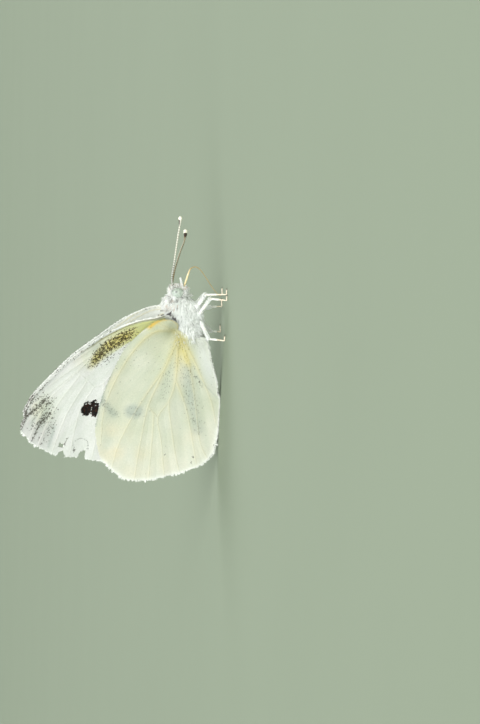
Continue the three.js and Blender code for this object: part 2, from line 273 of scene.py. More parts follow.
# %% Veins
FOREWING_VEINS = [
    [[2.4, 6.8], [2.35, 9.0], [1.3, 11.4], [-0.9, 14.4], [-4.2, 18.6]],
    [[2.3, 6.8], [1.9, 9.0], [0.5, 11.8], [-2.2, 15.0], [-5.6, 18.1], [-9.6, 21.7], [-13.2, 24.7]],
    [[-2.2, 15.0], [-4.7, 18.1], [-7.6, 21.6]],
    [[-4.6, 17.2], [-7.6, 20.4], [-10.6, 23.8]],
    [[-9.6, 21.7], [-12.2, 22.9], [-15.0, 23.9]],
    [[-6.1, 17.8], [-11.0, 20.9], [-16.0, 22.8]],
    [[-6.8, 16.8], [-11.5, 19.3], [-16.9, 21.0]],
    [[-7.6, 15.9], [-11.2, 17.7], [-17.3, 18.8]],
    [[-7.0, 14.7], [-11.0, 14.9], [-17.8, 16.0]],
    [[-4.2, 12.5], [-10.0, 12.9], [-18.0, 13.8]],
    [[1.9, 6.6], [-4.0, 9.0], [-10.0, 10.9], [-17.5, 12.7]],
    [[2.1, 6.7], [0.2, 9.2], [-4.2, 12.5], [-7.0, 14.7], [-7.6, 15.9], [-6.8, 16.8], [-5.6, 18.1]],
]
HINDWING_VEINS = [
    [
        [-0.2, 5.5], [0.7, 6.4], [0.85, 7.7], [0.1, 9.3], [-2.6, 11.3], [-6.3, 13.2],
        [-10.5, 14.6], [-15.5, 14.9],
    ],
    [[0.75, 6.8], [1.3, 7.3], [1.7, 8.1]],
    [[-0.5, 5.7], [-6.2, 7.7], [-10.1, 9.1], [-15.2, 9.9], [-20.2, 10.5]],
    [[-5.0, 7.3], [-9.5, 10.0], [-14.7, 12.4], [-18.6, 13.4]],
    [[-10.1, 9.1], [-10.9, 8.4], [-11.6, 7.8]],
    [[-10.9, 8.4], [-14.0, 8.4], [-20.2, 8.7]],
    [[-0.7, 5.6], [-6.2, 5.8], [-9.1, 6.45], [-11.6, 7.8], [-14.7, 7.3], [-19.9, 6.7]],
    [[-9.1, 6.45], [-10.8, 6.4], [-16.3, 5.5], [-19.3, 4.8]],
    [[-6.2, 5.8], [-8.5, 4.9], [-11.5, 4.0], [-18.1, 2.7]],
    [[-0.7, 5.3], [-4.5, 4.1], [-9.5, 3.2], [-14.8, 2.4], [-17.3, 1.3]],
    [[-0.7, 5.0], [-3.5, 3.6], [-5.6, 2.7], [-9.0, 1.3], [-12.2, 0.5]],
]
VEIN_STEP = 0.4
VEIN_WIDTHS = (0.09, 0.05)  # half a vein's width at its start and at its end

# %% [markdown]
# ## A relief board for each wing
#
# A wing isn't flat: veins stand up as ridges, the skin between them sags in shallow pleats, and the sheet
# bends at the shoulder. The scales have to follow the same relief as the sheet below them. So each wing
# gets a board, a fine grid of heights, and everything on the wing looks its height and slope up there.

# %% A relief board for each wing
BOARD_STEP = 0.04
BOARD_MARGIN = 0.6
VEIN_REACH = 1.6
SHEET_THICKNESS = 0.06
VEIN_HEIGHT = 0.022
PLEAT_DEPTH = 0.06
PLEAT_REACH = 0.8
WAVE_DEPTH = 0.05
ROOT_PULL = 0.65
ROOT_REACH = 1.1
SHEET_SHIFTS = {"fore": 0.12, "hind": -0.12}  # away from the body, within the room of the solids


def fade(gap, width):
    """1 where the gap is nothing, falling softly to 0 beyond the width."""
    return np.exp(-((gap / width) ** 2))


def draw_veins(veins, low, shape):
    """How much of a vein there is, and how far the nearest one is, at each place on a board."""
    ridge = np.zeros(shape)
    near = np.full(shape, VEIN_REACH)
    for knots in veins:
        line = smooth_line(knots, VEIN_STEP)
        widths = np.linspace(*VEIN_WIDTHS, len(line) - 1)
        for a, b, width in zip(line, line[1:], widths):
            first = np.floor((np.minimum(a, b) - VEIN_REACH - low) / BOARD_STEP).astype(int).clip(0)
            last = np.ceil((np.maximum(a, b) + VEIN_REACH - low) / BOARD_STEP).astype(int)
            block = (slice(first[0], last[0]), slice(first[1], last[1]))
            rows, columns = np.indices(ridge[block].shape)
            spots = np.stack([rows + first[0], columns + first[1]], axis=-1) * BOARD_STEP + low
            share = np.clip((spots - a) @ (b - a) / ((b - a) @ (b - a)), 0, 1)
            gap = np.linalg.norm(spots - a - share[..., None] * (b - a), axis=-1)
            ridge[block] = np.maximum(ridge[block], fade(gap, width))
            near[block] = np.minimum(near[block], gap)
    return ridge, near


def relief_board(edges, veins, offset, shift):
    """Heights of a wing's two faces on a grid, with what is needed to look them up."""
    outline = wing_outline(edges)
    low = outline.min(axis=0) - BOARD_MARGIN
    shape = tuple(np.ceil((np.ptp(outline, axis=0) + 2 * BOARD_MARGIN) / BOARD_STEP).astype(int) + 1)
    x, z = np.meshgrid(*(low[k] + BOARD_STEP * np.arange(shape[k]) for k in (0, 1)), indexing="ij")
    ridge, near = draw_veins(veins, low, shape)
    root_gap = distance_to(np.stack([x.ravel(), z.ravel()], axis=1), smooth_line(edges["root"], 0.3))
    pull = ROOT_PULL * fade(root_gap.reshape(shape), ROOT_REACH)
    pleat = PLEAT_DEPTH * (fade(near, PLEAT_REACH) - 0.5)
    wave = WAVE_DEPTH * np.sin(0.55 * x + 0.9 * z) * np.sin(0.35 * x - 0.6 * z + 1)
    middle = offset(x, z) + shift - pull + pleat + wave
    half = SHEET_THICKNESS / 2 + VEIN_HEIGHT * ridge
    board = {"low": low, "ridge": ridge, "near": near}
    for face, height in {"outer": middle + half, "inner": middle - half}.items():
        board[face] = height
        board[face + "_dx"], board[face + "_dz"] = np.gradient(height, BOARD_STEP)
    return board


def look_up(board, label, points):
    """A board's value at flat points, blended from the four grid places round each."""
    place = (points - board["low"]) / BOARD_STEP
    grid = board[label]
    cell = np.clip(place.astype(int), 0, np.array(grid.shape) - 2)
    u, v = (place - cell).T
    i, j = cell.T
    low_side = grid[i, j] * (1 - v) + grid[i, j + 1] * v
    high_side = grid[i + 1, j] * (1 - v) + grid[i + 1, j + 1] * v
    return low_side * (1 - u) + high_side * u


WINGS = {  # the hub is where rows of scales and rays spread from
    "fore": {"edges": FOREWING_EDGES, "veins": FOREWING_VEINS, "hub": np.array([2.6, 5.6])},
    "hind": {"edges": HINDWING_EDGES, "veins": HINDWING_VEINS, "hub": np.array([1.2, 4.6])},
}
for (name, wing), offset in zip(WINGS.items(), (forewing_offset, hindwing_offset)):
    wing["board"] = relief_board(wing["edges"], wing["veins"], offset, SHEET_SHIFTS[name])
    print(name, "board has", wing["board"]["ridge"].shape, "places")

# %% [markdown]
# ## Worn places
#
# An old butterfly's wings are torn. This one has lost bits of the forewing's margin, and has a small hole
# and a slit near it. Each is a ragged loop that is cut out of the sheet and the scales. The wings were
# closed when they were bitten, so both have the same tears, the left ones a little further back because the
# bite came at a slant.

# %% Worn places
HOLE = [
    [-15.38, 20.1], [-15.57, 19.95], [-15.68, 19.75], [-15.6, 19.5], [-15.87, 19.59], [-16.2, 19.62],
    [-16.28, 19.84], [-16.15, 20.11], [-16.1, 20.35], [-15.8, 20.22],
]
SLIT = [
    [-14.77, 19.1], [-14.84, 19.0], [-15.19, 19.16], [-15.5, 19.26], [-15.6, 19.38], [-15.31, 19.38],
    [-15.04, 19.25],
]
HIGH_BITE = [
    [-17.47, 20.47], [-17.01, 20.33], [-16.76, 20.08], [-16.67, 19.8], [-16.49, 19.65], [-16.69, 19.58],
    [-16.97, 19.58], [-17.24, 19.45], [-17.57, 19.2], [-18.23, 19.83], [-18.03, 20.64],
]
LOW_BITE = [
    [-18.21, 17.71], [-17.35, 17.79], [-17.11, 17.66], [-16.8, 17.56], [-16.66, 17.46], [-16.71, 17.3],
    [-16.55, 17.16], [-16.57, 16.98], [-16.52, 16.78], [-16.87, 16.79], [-17.21, 16.87], [-17.54, 16.92],
    [-18.19, 16.78], [-18.64, 17.19],
]
TIP_BITE = [[-12.0, 25.1], [-12.15, 24.93], [-12.35, 24.8], [-12.5, 24.95], [-12.65, 25.2], [-12.3, 25.4]]
BITE_SLANT = (-0.4, -0.09)  # how far the tears move from the right wing to the left

tears = [np.array(loop) for loop in (HOLE, SLIT, HIGH_BITE, LOW_BITE, TIP_BITE)]
WINGS["fore"]["tears"] = {"right": tears, "left": [loop + BITE_SLANT for loop in tears]}
WINGS["hind"]["tears"] = {"right": [], "left": []}

# %% [markdown]
# ## Markings
#
# The colours of a wing are a mosaic: each scale has one flat colour, and markings fade because fewer scales
# are dark. So we don't paint colours here. We only say, for any place on the wing, how golden it is, how
# likely a dark scale is, and so on, as sums of soft patches and streaks.

# %% Soft patches and streaks
def smooth_step(values):
    values = np.clip(values, 0, 1)
    return values * values * (3 - 2 * values)


def ramp_up(values, start, width):
    """0 until the start, rising to 1 a width beyond it."""
    return smooth_step((values - start) / width)


def ramp_down(values, end, width):
    """1 until a width before the end, falling to 0 there."""
    return smooth_step((end - values) / width)


def ellipse_reach(points, centre, radii, turn):
    """How far points are from the middle of a turned ellipse, with 1 at its edge."""
    c, s = math.cos(turn), math.sin(turn)
    return np.linalg.norm((points - centre) @ np.array([[c, -s], [s, c]]) / radii, axis=1)


def patch(points, centre, radii, turn=0.0, soft=0.3):
    """1 inside a turned ellipse, falling to 0 across its soft edge."""
    return ramp_down(ellipse_reach(points, centre, radii, turn), 1 + soft, 2 * soft)


def cloud(points, centre, radii, turn=0.0):
    """1 in the middle of a turned ellipse, fading to 0 well outside it."""
    return fade(ellipse_reach(points, centre, radii, turn), 1)


def clouds(points, rows):
    """A sum of clouds. Each row has a strength, a centre, radii and perhaps a turn."""
    return sum(strength * cloud(points, *shape) for strength, *shape in rows)


def streak(points, knots, width):
    """1 on a line, fading to 0 beyond its width."""
    return fade(distance_to(points, smooth_line(knots, 0.5)), width)


def edge_gap(points, edges, name):
    return distance_to(points, smooth_line(edges[name], 0.4))


def clumps(points, size, seed):
    """Uneven blotches about as wide as size, from 0 to 1."""
    dice = np.random.default_rng(seed)
    total = np.zeros(len(points))
    for _ in range(9):
        heading = dice.uniform(0, math.pi)
        pitch = math.pi / (size * dice.uniform(0.7, 1.5))
        direction = pitch * np.array([math.cos(heading), math.sin(heading)])
        total += np.sin(points @ direction + dice.uniform(0, 2 * math.pi))
    return (0.5 + total / 7).clip(0, 1)


def rays(points, hub, seed):
    """Soft stripes that fan out from the hub, from 0 to 1."""
    dice = np.random.default_rng(seed)
    away = points - hub
    angle = np.arctan2(away[:, 1], away[:, 0])
    total = np.zeros(len(points))
    for frequency in (23, 37, 61, 89):
        bend = 0.6 * np.sin(np.linalg.norm(away, axis=1) / 5 + dice.uniform(0, 6))
        total += np.sin(frequency * angle + bend + dice.uniform(0, 6))
    return smooth_step(0.5 + total / 5)


# %% Lines and patches of the forewing's underside
GOLD_UPPER = [
    [2.6, 7.5], [2.19, 9.16], [1.89, 10.26], [1.16, 11.83], [0.4, 13.03], [-0.4, 14.23], [-1.3, 15.43],
    [-2.24, 16.63], [-2.95, 17.85],
]
GOLD_LOWER = [
    [1.4, 7.4], [0.6, 9.3], [-0.57, 10.85], [-1.61, 12.29], [-2.58, 13.49], [-3.59, 14.69], [-4.57, 15.9],
    [-5.2, 16.74],
]
SPECKLED_LINE = [
    [1.0, 10.1], [0.5, 10.75], [-0.1, 11.62], [-0.97, 12.95], [-1.98, 14.28], [-3.1, 15.4], [-4.05, 16.2],
    [-4.93, 16.82],
]
STRAY_LINE = [[-1.39, 11.68], [-2.24, 12.6], [-3.4, 13.9], [-4.63, 15.5]]
TIP_LINES = [  # share of dark scales, knots and width
    (0.75, [[-11.81, 24.28], [-10.79, 23.26]], 0.15),
    (0.6, [[-9.6, 23.85], [-8.22, 22.53]], 0.12),
    (0.5, [[-12.9, 24.6], [-10.6, 24.25]], 0.14),
    (0.4, [[-15.89, 22.52], [-14.4, 21.5]], 0.1),
]
TIP_SEAM = [[-11.82, 21.64], [-12.55, 22.41], [-13.66, 22.97], [-15.31, 23.59]]
TIP_RAY = [[-16.01, 21.43], [-13.27, 20.76]]
WORN_RING = [[-16.38, 18.23], [-15.42, 18.34], [-14.82, 17.55], [-15.13, 16.56], [-16.22, 16.51]]
SLIT_EDGE = [[-15.85, 19.5], [-14.8, 19.05]]
# Rows of clouds hold a strength, a centre, radii and perhaps a turn.
TIP_CLOUDS = [
    (0.3, (-10.6, 22.1), (2.1, 1.3), 0.1), (0.16, (-9.7, 21.9), (1.0, 0.8)),
    (0.24, (-12.2, 22.6), (3.0, 1.7), 0.2),
]
DULL_CLOUDS = [
    (0.14, (-2.6, 14.8), (2.4, 3.4), 0.85), (0.18, (1.3, 10.4), (0.9, 1.5)),
    (0.4, (-2.1, 15.8), (2.6, 0.8), 0.85),
]
LILAC_CLOUDS = [(1.0, (-14.2, 22.9), (2.2, 2.6)), (0.8, (-2.9, 18.25), (0.5, 0.3), 0.9)]
TIP_BLUSH = [(0.5, (-10.6, 23.4), (2.6, 0.7), 0.35), (0.4, (-3.2, 18.6), (2.4, 1.0), 0.7)]
SPOT_PATCHES = [((-10.89, 16.86), (0.8, 0.56)), ((-10.64, 15.8), (1.12, 0.6)), ((-10.25, 16.4), (0.62, 0.7))]
SPOT_NOTCHES = [(0.9, (-11.62, 16.3), (0.34, 0.26)), (0.7, (-9.85, 16.5), (0.26, 0.3))]
COVERED_SPOT = ((-10.95, 10.9), (1.2, 1.45))


# %% The parts of the forewing's pattern
def gold_zone(points):
    """The golden wedge behind the costa, which pales towards the tip."""
    zone = np.vstack([GOLD_UPPER, GOLD_LOWER[::-1]])
    beside = fade(distance_to(points, closed(zone)), 0.16)
    return np.where(inside(points, zone), 1.0, beside) * (1 - 0.85 * ramp_up(points[:, 1], 9.5, 8.5))


def speckled_band(points):
    """The band of dark speckles in the gold, and the strays beside it."""
    z = points[:, 1]
    taper = ramp_up(z, 9.2, 3.6) * (0.26 + 0.74 * ramp_down(z, 17.3, 2.2))
    band = smooth_step(1.5 * streak(points, SPECKLED_LINE, 0.9) * taper - 0.32)
    strays = (0.16 * streak(points, SPECKLED_LINE, 1.0) * taper - 0.03).clip(0)
    return band, strays + 0.16 * streak(points, STRAY_LINE, 0.4)


def dark_spot(points):
    """The spot in the middle of the wing, with two notches and a frayed edge."""
    spot = sum(patch(points, *shape) for shape in SPOT_PATCHES)
    spot *= 1 - clouds(points, SPOT_NOTCHES)
    frayed = 0.95 * spot.clip(0, 1) + clumps(points, 0.17, 4)
    return ramp_up(frayed, 0.73, 0.34) * smooth_step(spot / 0.2)


def tip_dust(points, vein_gap, front):
    """Dark dusting in the forewing's tip, thinner along the veins."""
    dusty = clouds(points, TIP_CLOUDS)
    for share, knots, width in TIP_LINES:
        dusty = np.maximum(dusty, share * streak(points, knots, width))
    between = smooth_step(vein_gap / 0.3)
    striped = 0.42 + 0.8 * rays(points, WINGS["fore"]["hub"], 7)
    rim = ramp_up(front, 0.14, 0.1)
    grainy = 0.85 + 0.3 * clumps(points, 0.2, 5)
    return (1.45 * dusty * (0.4 + 0.6 * between) * striped * rim * grainy - 0.06).clip(0)


# %% Masks of the forewing's underside
def forewing_under(points, board):
    x, z = points.T
    front = edge_gap(points, FOREWING_EDGES, "costa")
    vein_gap = look_up(board, "near", points)
    band, strays = speckled_band(points)
    clumped, specks = clumps(points, 0.26, 6), clumps(points, 0.2, 11)
    outer_half = ramp_up(z, 14.5, 3)
    costal_zone = ramp_up(z, 11.5, 3)

    ring = streak(points, WORN_RING, 0.08)
    worn = 0.3 * ring**2 + 0.9 * streak(points, TIP_SEAM, 0.08) + 0.6 * streak(points, SLIT_EDGE, 0.11)
    worn += 0.6 * cloud(points, (-16.35, 18.2), (0.34, 0.16))
    tip_edge = ramp_down(x, -7.6, 0.8) * fade(front - 0.2, 0.08)
    costal_dots = 0.32 * costal_zone * fade(front, 0.3) * specks + 0.62 * tip_edge * (0.5 + 0.5 * specks)
    dust = (0.15 + 0.97 * clumped) * band + strays + tip_dust(points, vein_gap, front) + worn + costal_dots
    black = dark_spot(points) + patch(points, *COVERED_SPOT, soft=0.4) + 0.26 * band * clumped

    tip_grey = 0.42 * cloud(points, (-12.5, 22.7), (3.4, 1.8), 0.25) * ramp_up(front, 0.2, 0.15)
    tip_grey += 0.45 * streak(points, TIP_RAY, 0.22)
    tip_grey *= 0.2 + 1.1 * ramp_up(vein_gap, 0.05, 0.35)
    # A thin grey line just inside the costa is painted shade beside the costal vein.
    line_place = 0.22 + 0.16 * ramp_down(z, 11, 3) + 0.12 * outer_half
    costal_vein_shade = 0.6 * ramp_up(z, 7.5, 1.0) * fade(front - line_place, 0.09)
    dull = clouds(points, DULL_CLOUDS) + 0.05
    lilac = clouds(points, LILAC_CLOUDS) + 0.8 * costal_zone * fade(front - 0.3, 0.45)
    return {
        "gold": np.maximum(gold_zone(points) * ramp_up(front, 0.25, 0.15), band),
        "ochre": 0.36 * band,
        "dust": dust.clip(0, 0.92),
        "black": black.clip(0, 1),
        "veil": (tip_grey + 0.3 * ring + costal_vein_shade + dull).clip(0, 1),
        "ray": rays(points, WINGS["fore"]["hub"], 8),
        "sage": 0.8 * cloud(points, (-11.3, 22.2), (2.8, 1.4), 0.1),
        "lilac": lilac.clip(0, 1),
        "blush": clouds(points, TIP_BLUSH).clip(0, 1),
        "white": (1 - ramp_up(front, 0.22 - 0.12 * costal_zone, 0.1)) * (1 - 0.8 * costal_zone),
        # A thin dark olive line along the gold's upper edge.
        "groove": streak(points, GOLD_UPPER, 0.1) * (1 - 0.5 * outer_half),
        "vein": 0.12 * look_up(board, "ridge", points),
    }


# %% Lines and patches of the hindwing's underside
OCHRE_LINE = [[2.49, 7.51], [2.3, 8.15], [1.9, 8.7], [1.25, 9.35]]
HINDWING_LINES = {  # knots and width
    "ochre": (OCHRE_LINE, 0.27),
    "ochre_glow": (OCHRE_LINE, 0.45),
    "pale_edge": ([[1.15, 9.35], [0.25, 10.43], [-0.59, 11.63], [-1.83, 12.93]], 0.1),
    "lobe": ([[2.42, 7.5], [2.2, 6.6], [1.5, 5.85], [0.7, 5.7]], 0.07),
    "wedge": ([[-0.7, 5.45], [-1.9, 5.15], [-3.0, 4.7], [-4.0, 4.3]], 0.5),
    "cell": ([[-1.6, 5.95], [-4.6, 6.3], [-7.2, 6.95], [-8.9, 7.4]], 0.55),
    "grey": ([[-4.6, 4.4], [-6.6, 4.15], [-8.87, 3.74], [-11.22, 3.19], [-13.2, 2.7]], 0.75),
    "fold": ([[0.6, 3.6], [-1.0, 3.0], [-4.4, 1.9], [-8.8, 0.6]], 1.1),
    "crease_shade": ([[-5.6, 3.23], [-6.74, 2.28], [-7.74, 1.35], [-8.85, 0.42]], 0.09),
    "crease_dust": ([[-5.6, 3.25], [-7.1, 2.5]], 0.2),
    "beside_spot": ([[-9.0, 15.0], [-10.28, 14.15], [-11.2, 13.3]], 0.5),
    "groove": ([[-0.9, 5.62], [-4.4, 5.62]], 0.05),
}
DARK_DOTS = [(-17.8, 3.38), (-16.98, 3.17), (-16.75, 6.76), (-5.7, 3.2), (-6.35, 2.85), (-7.0, 2.5)]
DOT_RADII = (0.12, 0.1)
BLUSH_CLOUDS = [
    (1.0, (-15.0, 13.6), (3.0, 2.6)), (0.7, (-17.8, 9.5), (2.2, 3.5)),
    (0.8, (-7.0, 14.0), (3.0, 1.4)), (0.6, (-13.6, 3.0), (3.0, 1.4)),
]


# %% Masks of the hindwing's underside
def hindwing_under(points, board):
    x = points[:, 0]
    front, outer, inner = (edge_gap(points, HINDWING_EDGES, name) for name in ("costa", "outer", "inner"))
    hub_gap = np.linalg.norm(points - (-0.7, 5.5), axis=1)
    vein_gap = look_up(board, "near", points)
    near_root = fade(hub_gap, 7.0)
    vein_glow = near_root * fade(vein_gap, 0.3)
    line = {name: streak(points, *shape) for name, shape in HINDWING_LINES.items()}
    fan = cloud(points, (-2.6, 5.4), (4.2, 1.0), 0.1)
    fold = line["fold"] * ramp_up(x, -9.5, 5)
    # The forewing's hidden spot, painted on the hindwing as the grey shadow that it casts through the thin
    # wing.
    spot_shadow_through = patch(points, (-10.75, 10.85), (0.95, 1.1), soft=0.5)
    lobe = patch(points, (1.5, 7.0), (0.75, 1.3), soft=0.4)

    dust = 0.0015 + 0.1 * line["cell"] + 0.08 * line["wedge"] + 0.11 * line["grey"]
    dust = dust + 0.2 * line["beside_spot"] + 0.06 * spot_shadow_through
    # A thin line of dark scales along the front edge is painted shadow, where the hindwing lies over the
    # forewing.
    dust += 0.5 * fade(front, 0.1) * ramp_down(x, -5.4, 0.8) * ramp_up(x, -10.4, 0.8)
    dust += 0.008 * near_root + 0.25 * line["crease_dust"]
    dots = np.max([0.8 * cloud(points, place, DOT_RADII) for place in DARK_DOTS], axis=0)
    # shaded greys the front edge as painted shade between the two wings.
    shaded = fade(front, 0.22) * (0.3 + 0.6 * ramp_down(x, -4.5, 1.5)) * (x > -13)
    dull = 0.2 * cloud(points, (-8.8, 4.6), (4.4, 4.2)) + 0.1 * vein_glow + 0.02
    veil = 0.65 * line["beside_spot"] + 0.8 * spot_shadow_through + 0.55 * line["grey"] + 0.15 * line["cell"]
    # The grey along the crease is painted shade in the fold.
    veil += shaded + 0.4 * line["crease_shade"] + dull
    # The white on the lobe is painted light, which lifts the lobe out of the shade of the chest's hair; the
    # rest of the white is the wing's own pale edges.
    rim = 0.3 * lobe + 0.3 * line["pale_edge"] + 0.8 * fade(outer, 0.45) + fade(inner, 0.22)

    sage = 0.6 * smooth_step(outer / 7.0) + 0.5 * cloud(points, (-9.5, 2.6), (6.0, 2.2), 0.05)
    sage = (sage + 0.7 * line["cell"]) * (0.5 + clumps(points, 2.4, 12))
    blush = 0.75 * clouds(points, BLUSH_CLOUDS) * clumps(points, 1.7, 13)
    blush += 0.28 * fade(vein_gap, 0.42) * (0.4 + 0.8 * near_root) + 0.5 * fan + 0.5 * line["wedge"]
    gold = 0.3 * near_root * fade(hub_gap, 4.0) + 0.3 * line["wedge"] + 0.25 * vein_glow
    gold += 0.5 * line["ochre_glow"] + 0.25 * lobe
    ochre = 1.1 * line["ochre"] + 0.6 * line["lobe"] + 0.12 * line["wedge"] + 0.06 * fan + 0.16 * vein_glow
    return {
        "sage": sage.clip(0, 1),
        "blush": (blush * (1 - fold) + 0.6 * line["pale_edge"]).clip(0, 1),
        "pale": fold.clip(0, 1),
        "gold": gold.clip(0, 1) * (1 - 0.8 * fold),
        "ochre": ochre.clip(0, 1),
        "dust": dust.clip(0, 0.6),
        "black": dots,
        "veil": veil.clip(0, 1),
        "ray": rays(points, WINGS["hind"]["hub"], 9),
        "white": rim.clip(0, 1),
        "groove": 0.35 * line["groove"],
        "vein": 0.4 * look_up(board, "ridge", points),
    }


# %% Masks of the uppersides
def forewing_upper(points, board):
    front = edge_gap(points, FOREWING_EDGES, "costa")
    hub_gap = np.linalg.norm(points - WINGS["fore"]["hub"], axis=1)
    front_line = fade(front - 0.25, 0.06)
    dust = 0.8 * patch(points, (-12.5, 24.0), (4.0, 2.4), 0.35, 0.35)
    dust += 0.25 * fade(hub_gap, 2.4) * ramp_up(front, 0.5, 0.5)
    return {
        "dust": dust.clip(0, 0.85),
        "black": (patch(points, (-10.8, 16.3), (1.1, 1.1)) + 0.1 * front_line).clip(0, 1),
        "veil": 0.3 * ramp_up(front, 0.3, 0.1) * ramp_down(front, 2.2, 0.8) + 0.75 * front_line,
        "white": 1 - ramp_up(front, 0.14, 0.08),
        "vein": look_up(board, "ridge", points),
    }


def hindwing_upper(points, board):
    hub_gap = np.linalg.norm(points - WINGS["hind"]["hub"], axis=1)
    mark = patch(points, (-12.0, 13.9), (1.3, 0.8), 0.1, 0.4)
    return {
        "dust": (0.004 + 0.4 * fade(hub_gap, 3.0) + 0.7 * mark).clip(0, 0.85),
        "vein": look_up(board, "ridge", points),
    }


WINGS["fore"]["masks"] = {"outer": forewing_under, "inner": forewing_upper}
WINGS["hind"]["masks"] = {"outer": hindwing_under, "inner": hindwing_upper}

# %% [markdown]
# ## Materials from shared effects
#
# Three effects come back in nearly every material: a stain that shows where a mask says, a mottle of two
# colours, and a fine grain for the bump. Each is a node group with named inputs, built once. The groups put
# out only colours and heights, and the shader stays in each material.

# %% Building node groups
def srgb(red, green, blue):
    """A colour as seen on a screen, from 0 to 255, in the linear values that shaders use."""
    shares = [value / 255 for value in (red, green, blue)]
    return (*[s / 12.92 if s <= 0.04045 else ((s + 0.055) / 1.055) ** 2.4 for s in shares], 1.0)


def new_group(name, inputs, output):
    """A shader node group. inputs are names and values: a colour has four parts, and a number one."""
    group = bpy.data.node_groups.new(name, "ShaderNodeTree")
    for label, value in inputs.items():
        kind = "NodeSocketColor" if isinstance(value, tuple) else "NodeSocketFloat"
        group.interface.new_socket(name=label, in_out="INPUT", socket_type=kind).default_value = value
    kind = "NodeSocketColor" if output == "Color" else "NodeSocketFloat"
    group.interface.new_socket(name=output, in_out="OUTPUT", socket_type=kind)
    return group, group.nodes.new("NodeGroupInput").outputs, group.nodes.new("NodeGroupOutput").inputs


def feed(tree, socket, source):
    """Links a socket to the one that brings its value, or sets it to a plain value."""
    if isinstance(source, bpy.types.NodeSocket):
        tree.links.new(source, socket)
    else:
        socket.default_value = source


def math_node(tree, operation, first, second):
    node = tree.nodes.new("ShaderNodeMath")
    node.operation = operation
    feed(tree, node.inputs[0], first)
    feed(tree, node.inputs[1], second)
    return node.outputs[0]


def noise_node(tree, scale, detail):
    """Noise over the piece's own space. scale is a socket with the number of lumps in a millimetre."""
    place = tree.nodes.new("ShaderNodeTexCoord")
    noise = tree.nodes.new("ShaderNodeTexNoise")
    noise.inputs["Detail"].default_value = detail
    tree.links.new(place.outputs["Object"], noise.inputs["Vector"])
    tree.links.new(math_node(tree, "MULTIPLY", scale, 1 / MM), noise.inputs["Scale"])
    return noise.outputs[0]


# The Mix node has sockets for every kind of value, so the colours' are found by their kind.
def colour_mix(tree, share, first, second):
    node = tree.nodes.new("ShaderNodeMix")
    node.data_type = "RGBA"
    colours = [socket for socket in node.inputs if socket.type == "RGBA"]
    factor = next(socket for socket in node.inputs if socket.name == "Factor" and socket.type == "VALUE")
    tree.links.new(share, factor)
    tree.links.new(first, colours[0])
    tree.links.new(second, colours[1])
    return next(socket for socket in node.outputs if socket.type == "RGBA")


def place_group(tree, group, values):
    """Places a node group. Values are numbers and colours, or the sockets that bring them."""
    node = tree.nodes.new("ShaderNodeGroup")
    node.node_tree = group
    for label, value in values.items():
        feed(tree, node.inputs[label], value)
    return node.outputs[0]


# %% The three shared effects
LIGHT_GREY = (0.8, 0.8, 0.8, 1)
MIDDLE_GREY = (0.6, 0.6, 0.6, 1)
DARK_GREY = (0.2, 0.2, 0.2, 1)


def mix_out(group, result, share, first, second):
    """Puts out two colours mixed by a share that is kept between 0 and 1."""
    clamp = group.nodes.new("ShaderNodeClamp")
    group.links.new(share, clamp.inputs["Value"])
    group.links.new(colour_mix(group, clamp.outputs[0], first, second), result["Color"])
    return group


def uneven(group, given, detail, label):
    """Noise round 0, as strong as the named input says."""
    noise = noise_node(group, given["Scale"], detail)
    return math_node(group, "MULTIPLY", math_node(group, "SUBTRACT", noise, 0.5), given[label])


def stain_group():
    """Lays a second colour over the first where the mask says, with a broken edge."""
    group, given, result = new_group("stain", {
        "Color": LIGHT_GREY, "Stain": DARK_GREY, "Mask": 0.0, "Strength": 1.0, "Breakup": 0.3, "Scale": 2.0,
    }, "Color")
    broken = math_node(group, "MULTIPLY", uneven(group, given, 3, "Breakup"), 2.0)
    keep = math_node(group, "ADD", broken, 1.0)
    held = math_node(group, "MULTIPLY", given["Mask"], given["Strength"])
    return mix_out(group, result, math_node(group, "MULTIPLY", held, keep), given["Color"], given["Stain"])


def mottle_group():
    """Wanders between two colours over the surface."""
    group, given, result = new_group("mottle", {
        "First": LIGHT_GREY, "Second": MIDDLE_GREY, "Scale": 1.0, "Contrast": 2.0,
    }, "Color")
    share = math_node(group, "ADD", uneven(group, given, 4, "Contrast"), 0.5)
    return mix_out(group, result, share, given["First"], given["Second"])


def grain_group():
    """A fine uneven height for the bump of a surface."""
    group, given, result = new_group("grain", {"Scale": 10.0, "Depth": 1.0}, "Height")
    noise = noise_node(group, given["Scale"], 2)
    group.links.new(math_node(group, "MULTIPLY", noise, given["Depth"]), result["Height"])
    return group


STAIN, MOTTLE, GRAIN = stain_group(), mottle_group(), grain_group()
print("shared effects:", [group.name for group in (STAIN, MOTTLE, GRAIN)])


# %% Putting a material together
BUMP_DISTANCE = 0.02 * MM
STAIN_LUMPS = 3.0  # in a millimetre, for the broken edges of all stains


def mask(tree, label):
    reader = tree.nodes.new("ShaderNodeAttribute")
    reader.attribute_name = label
    return reader.outputs["Fac"]


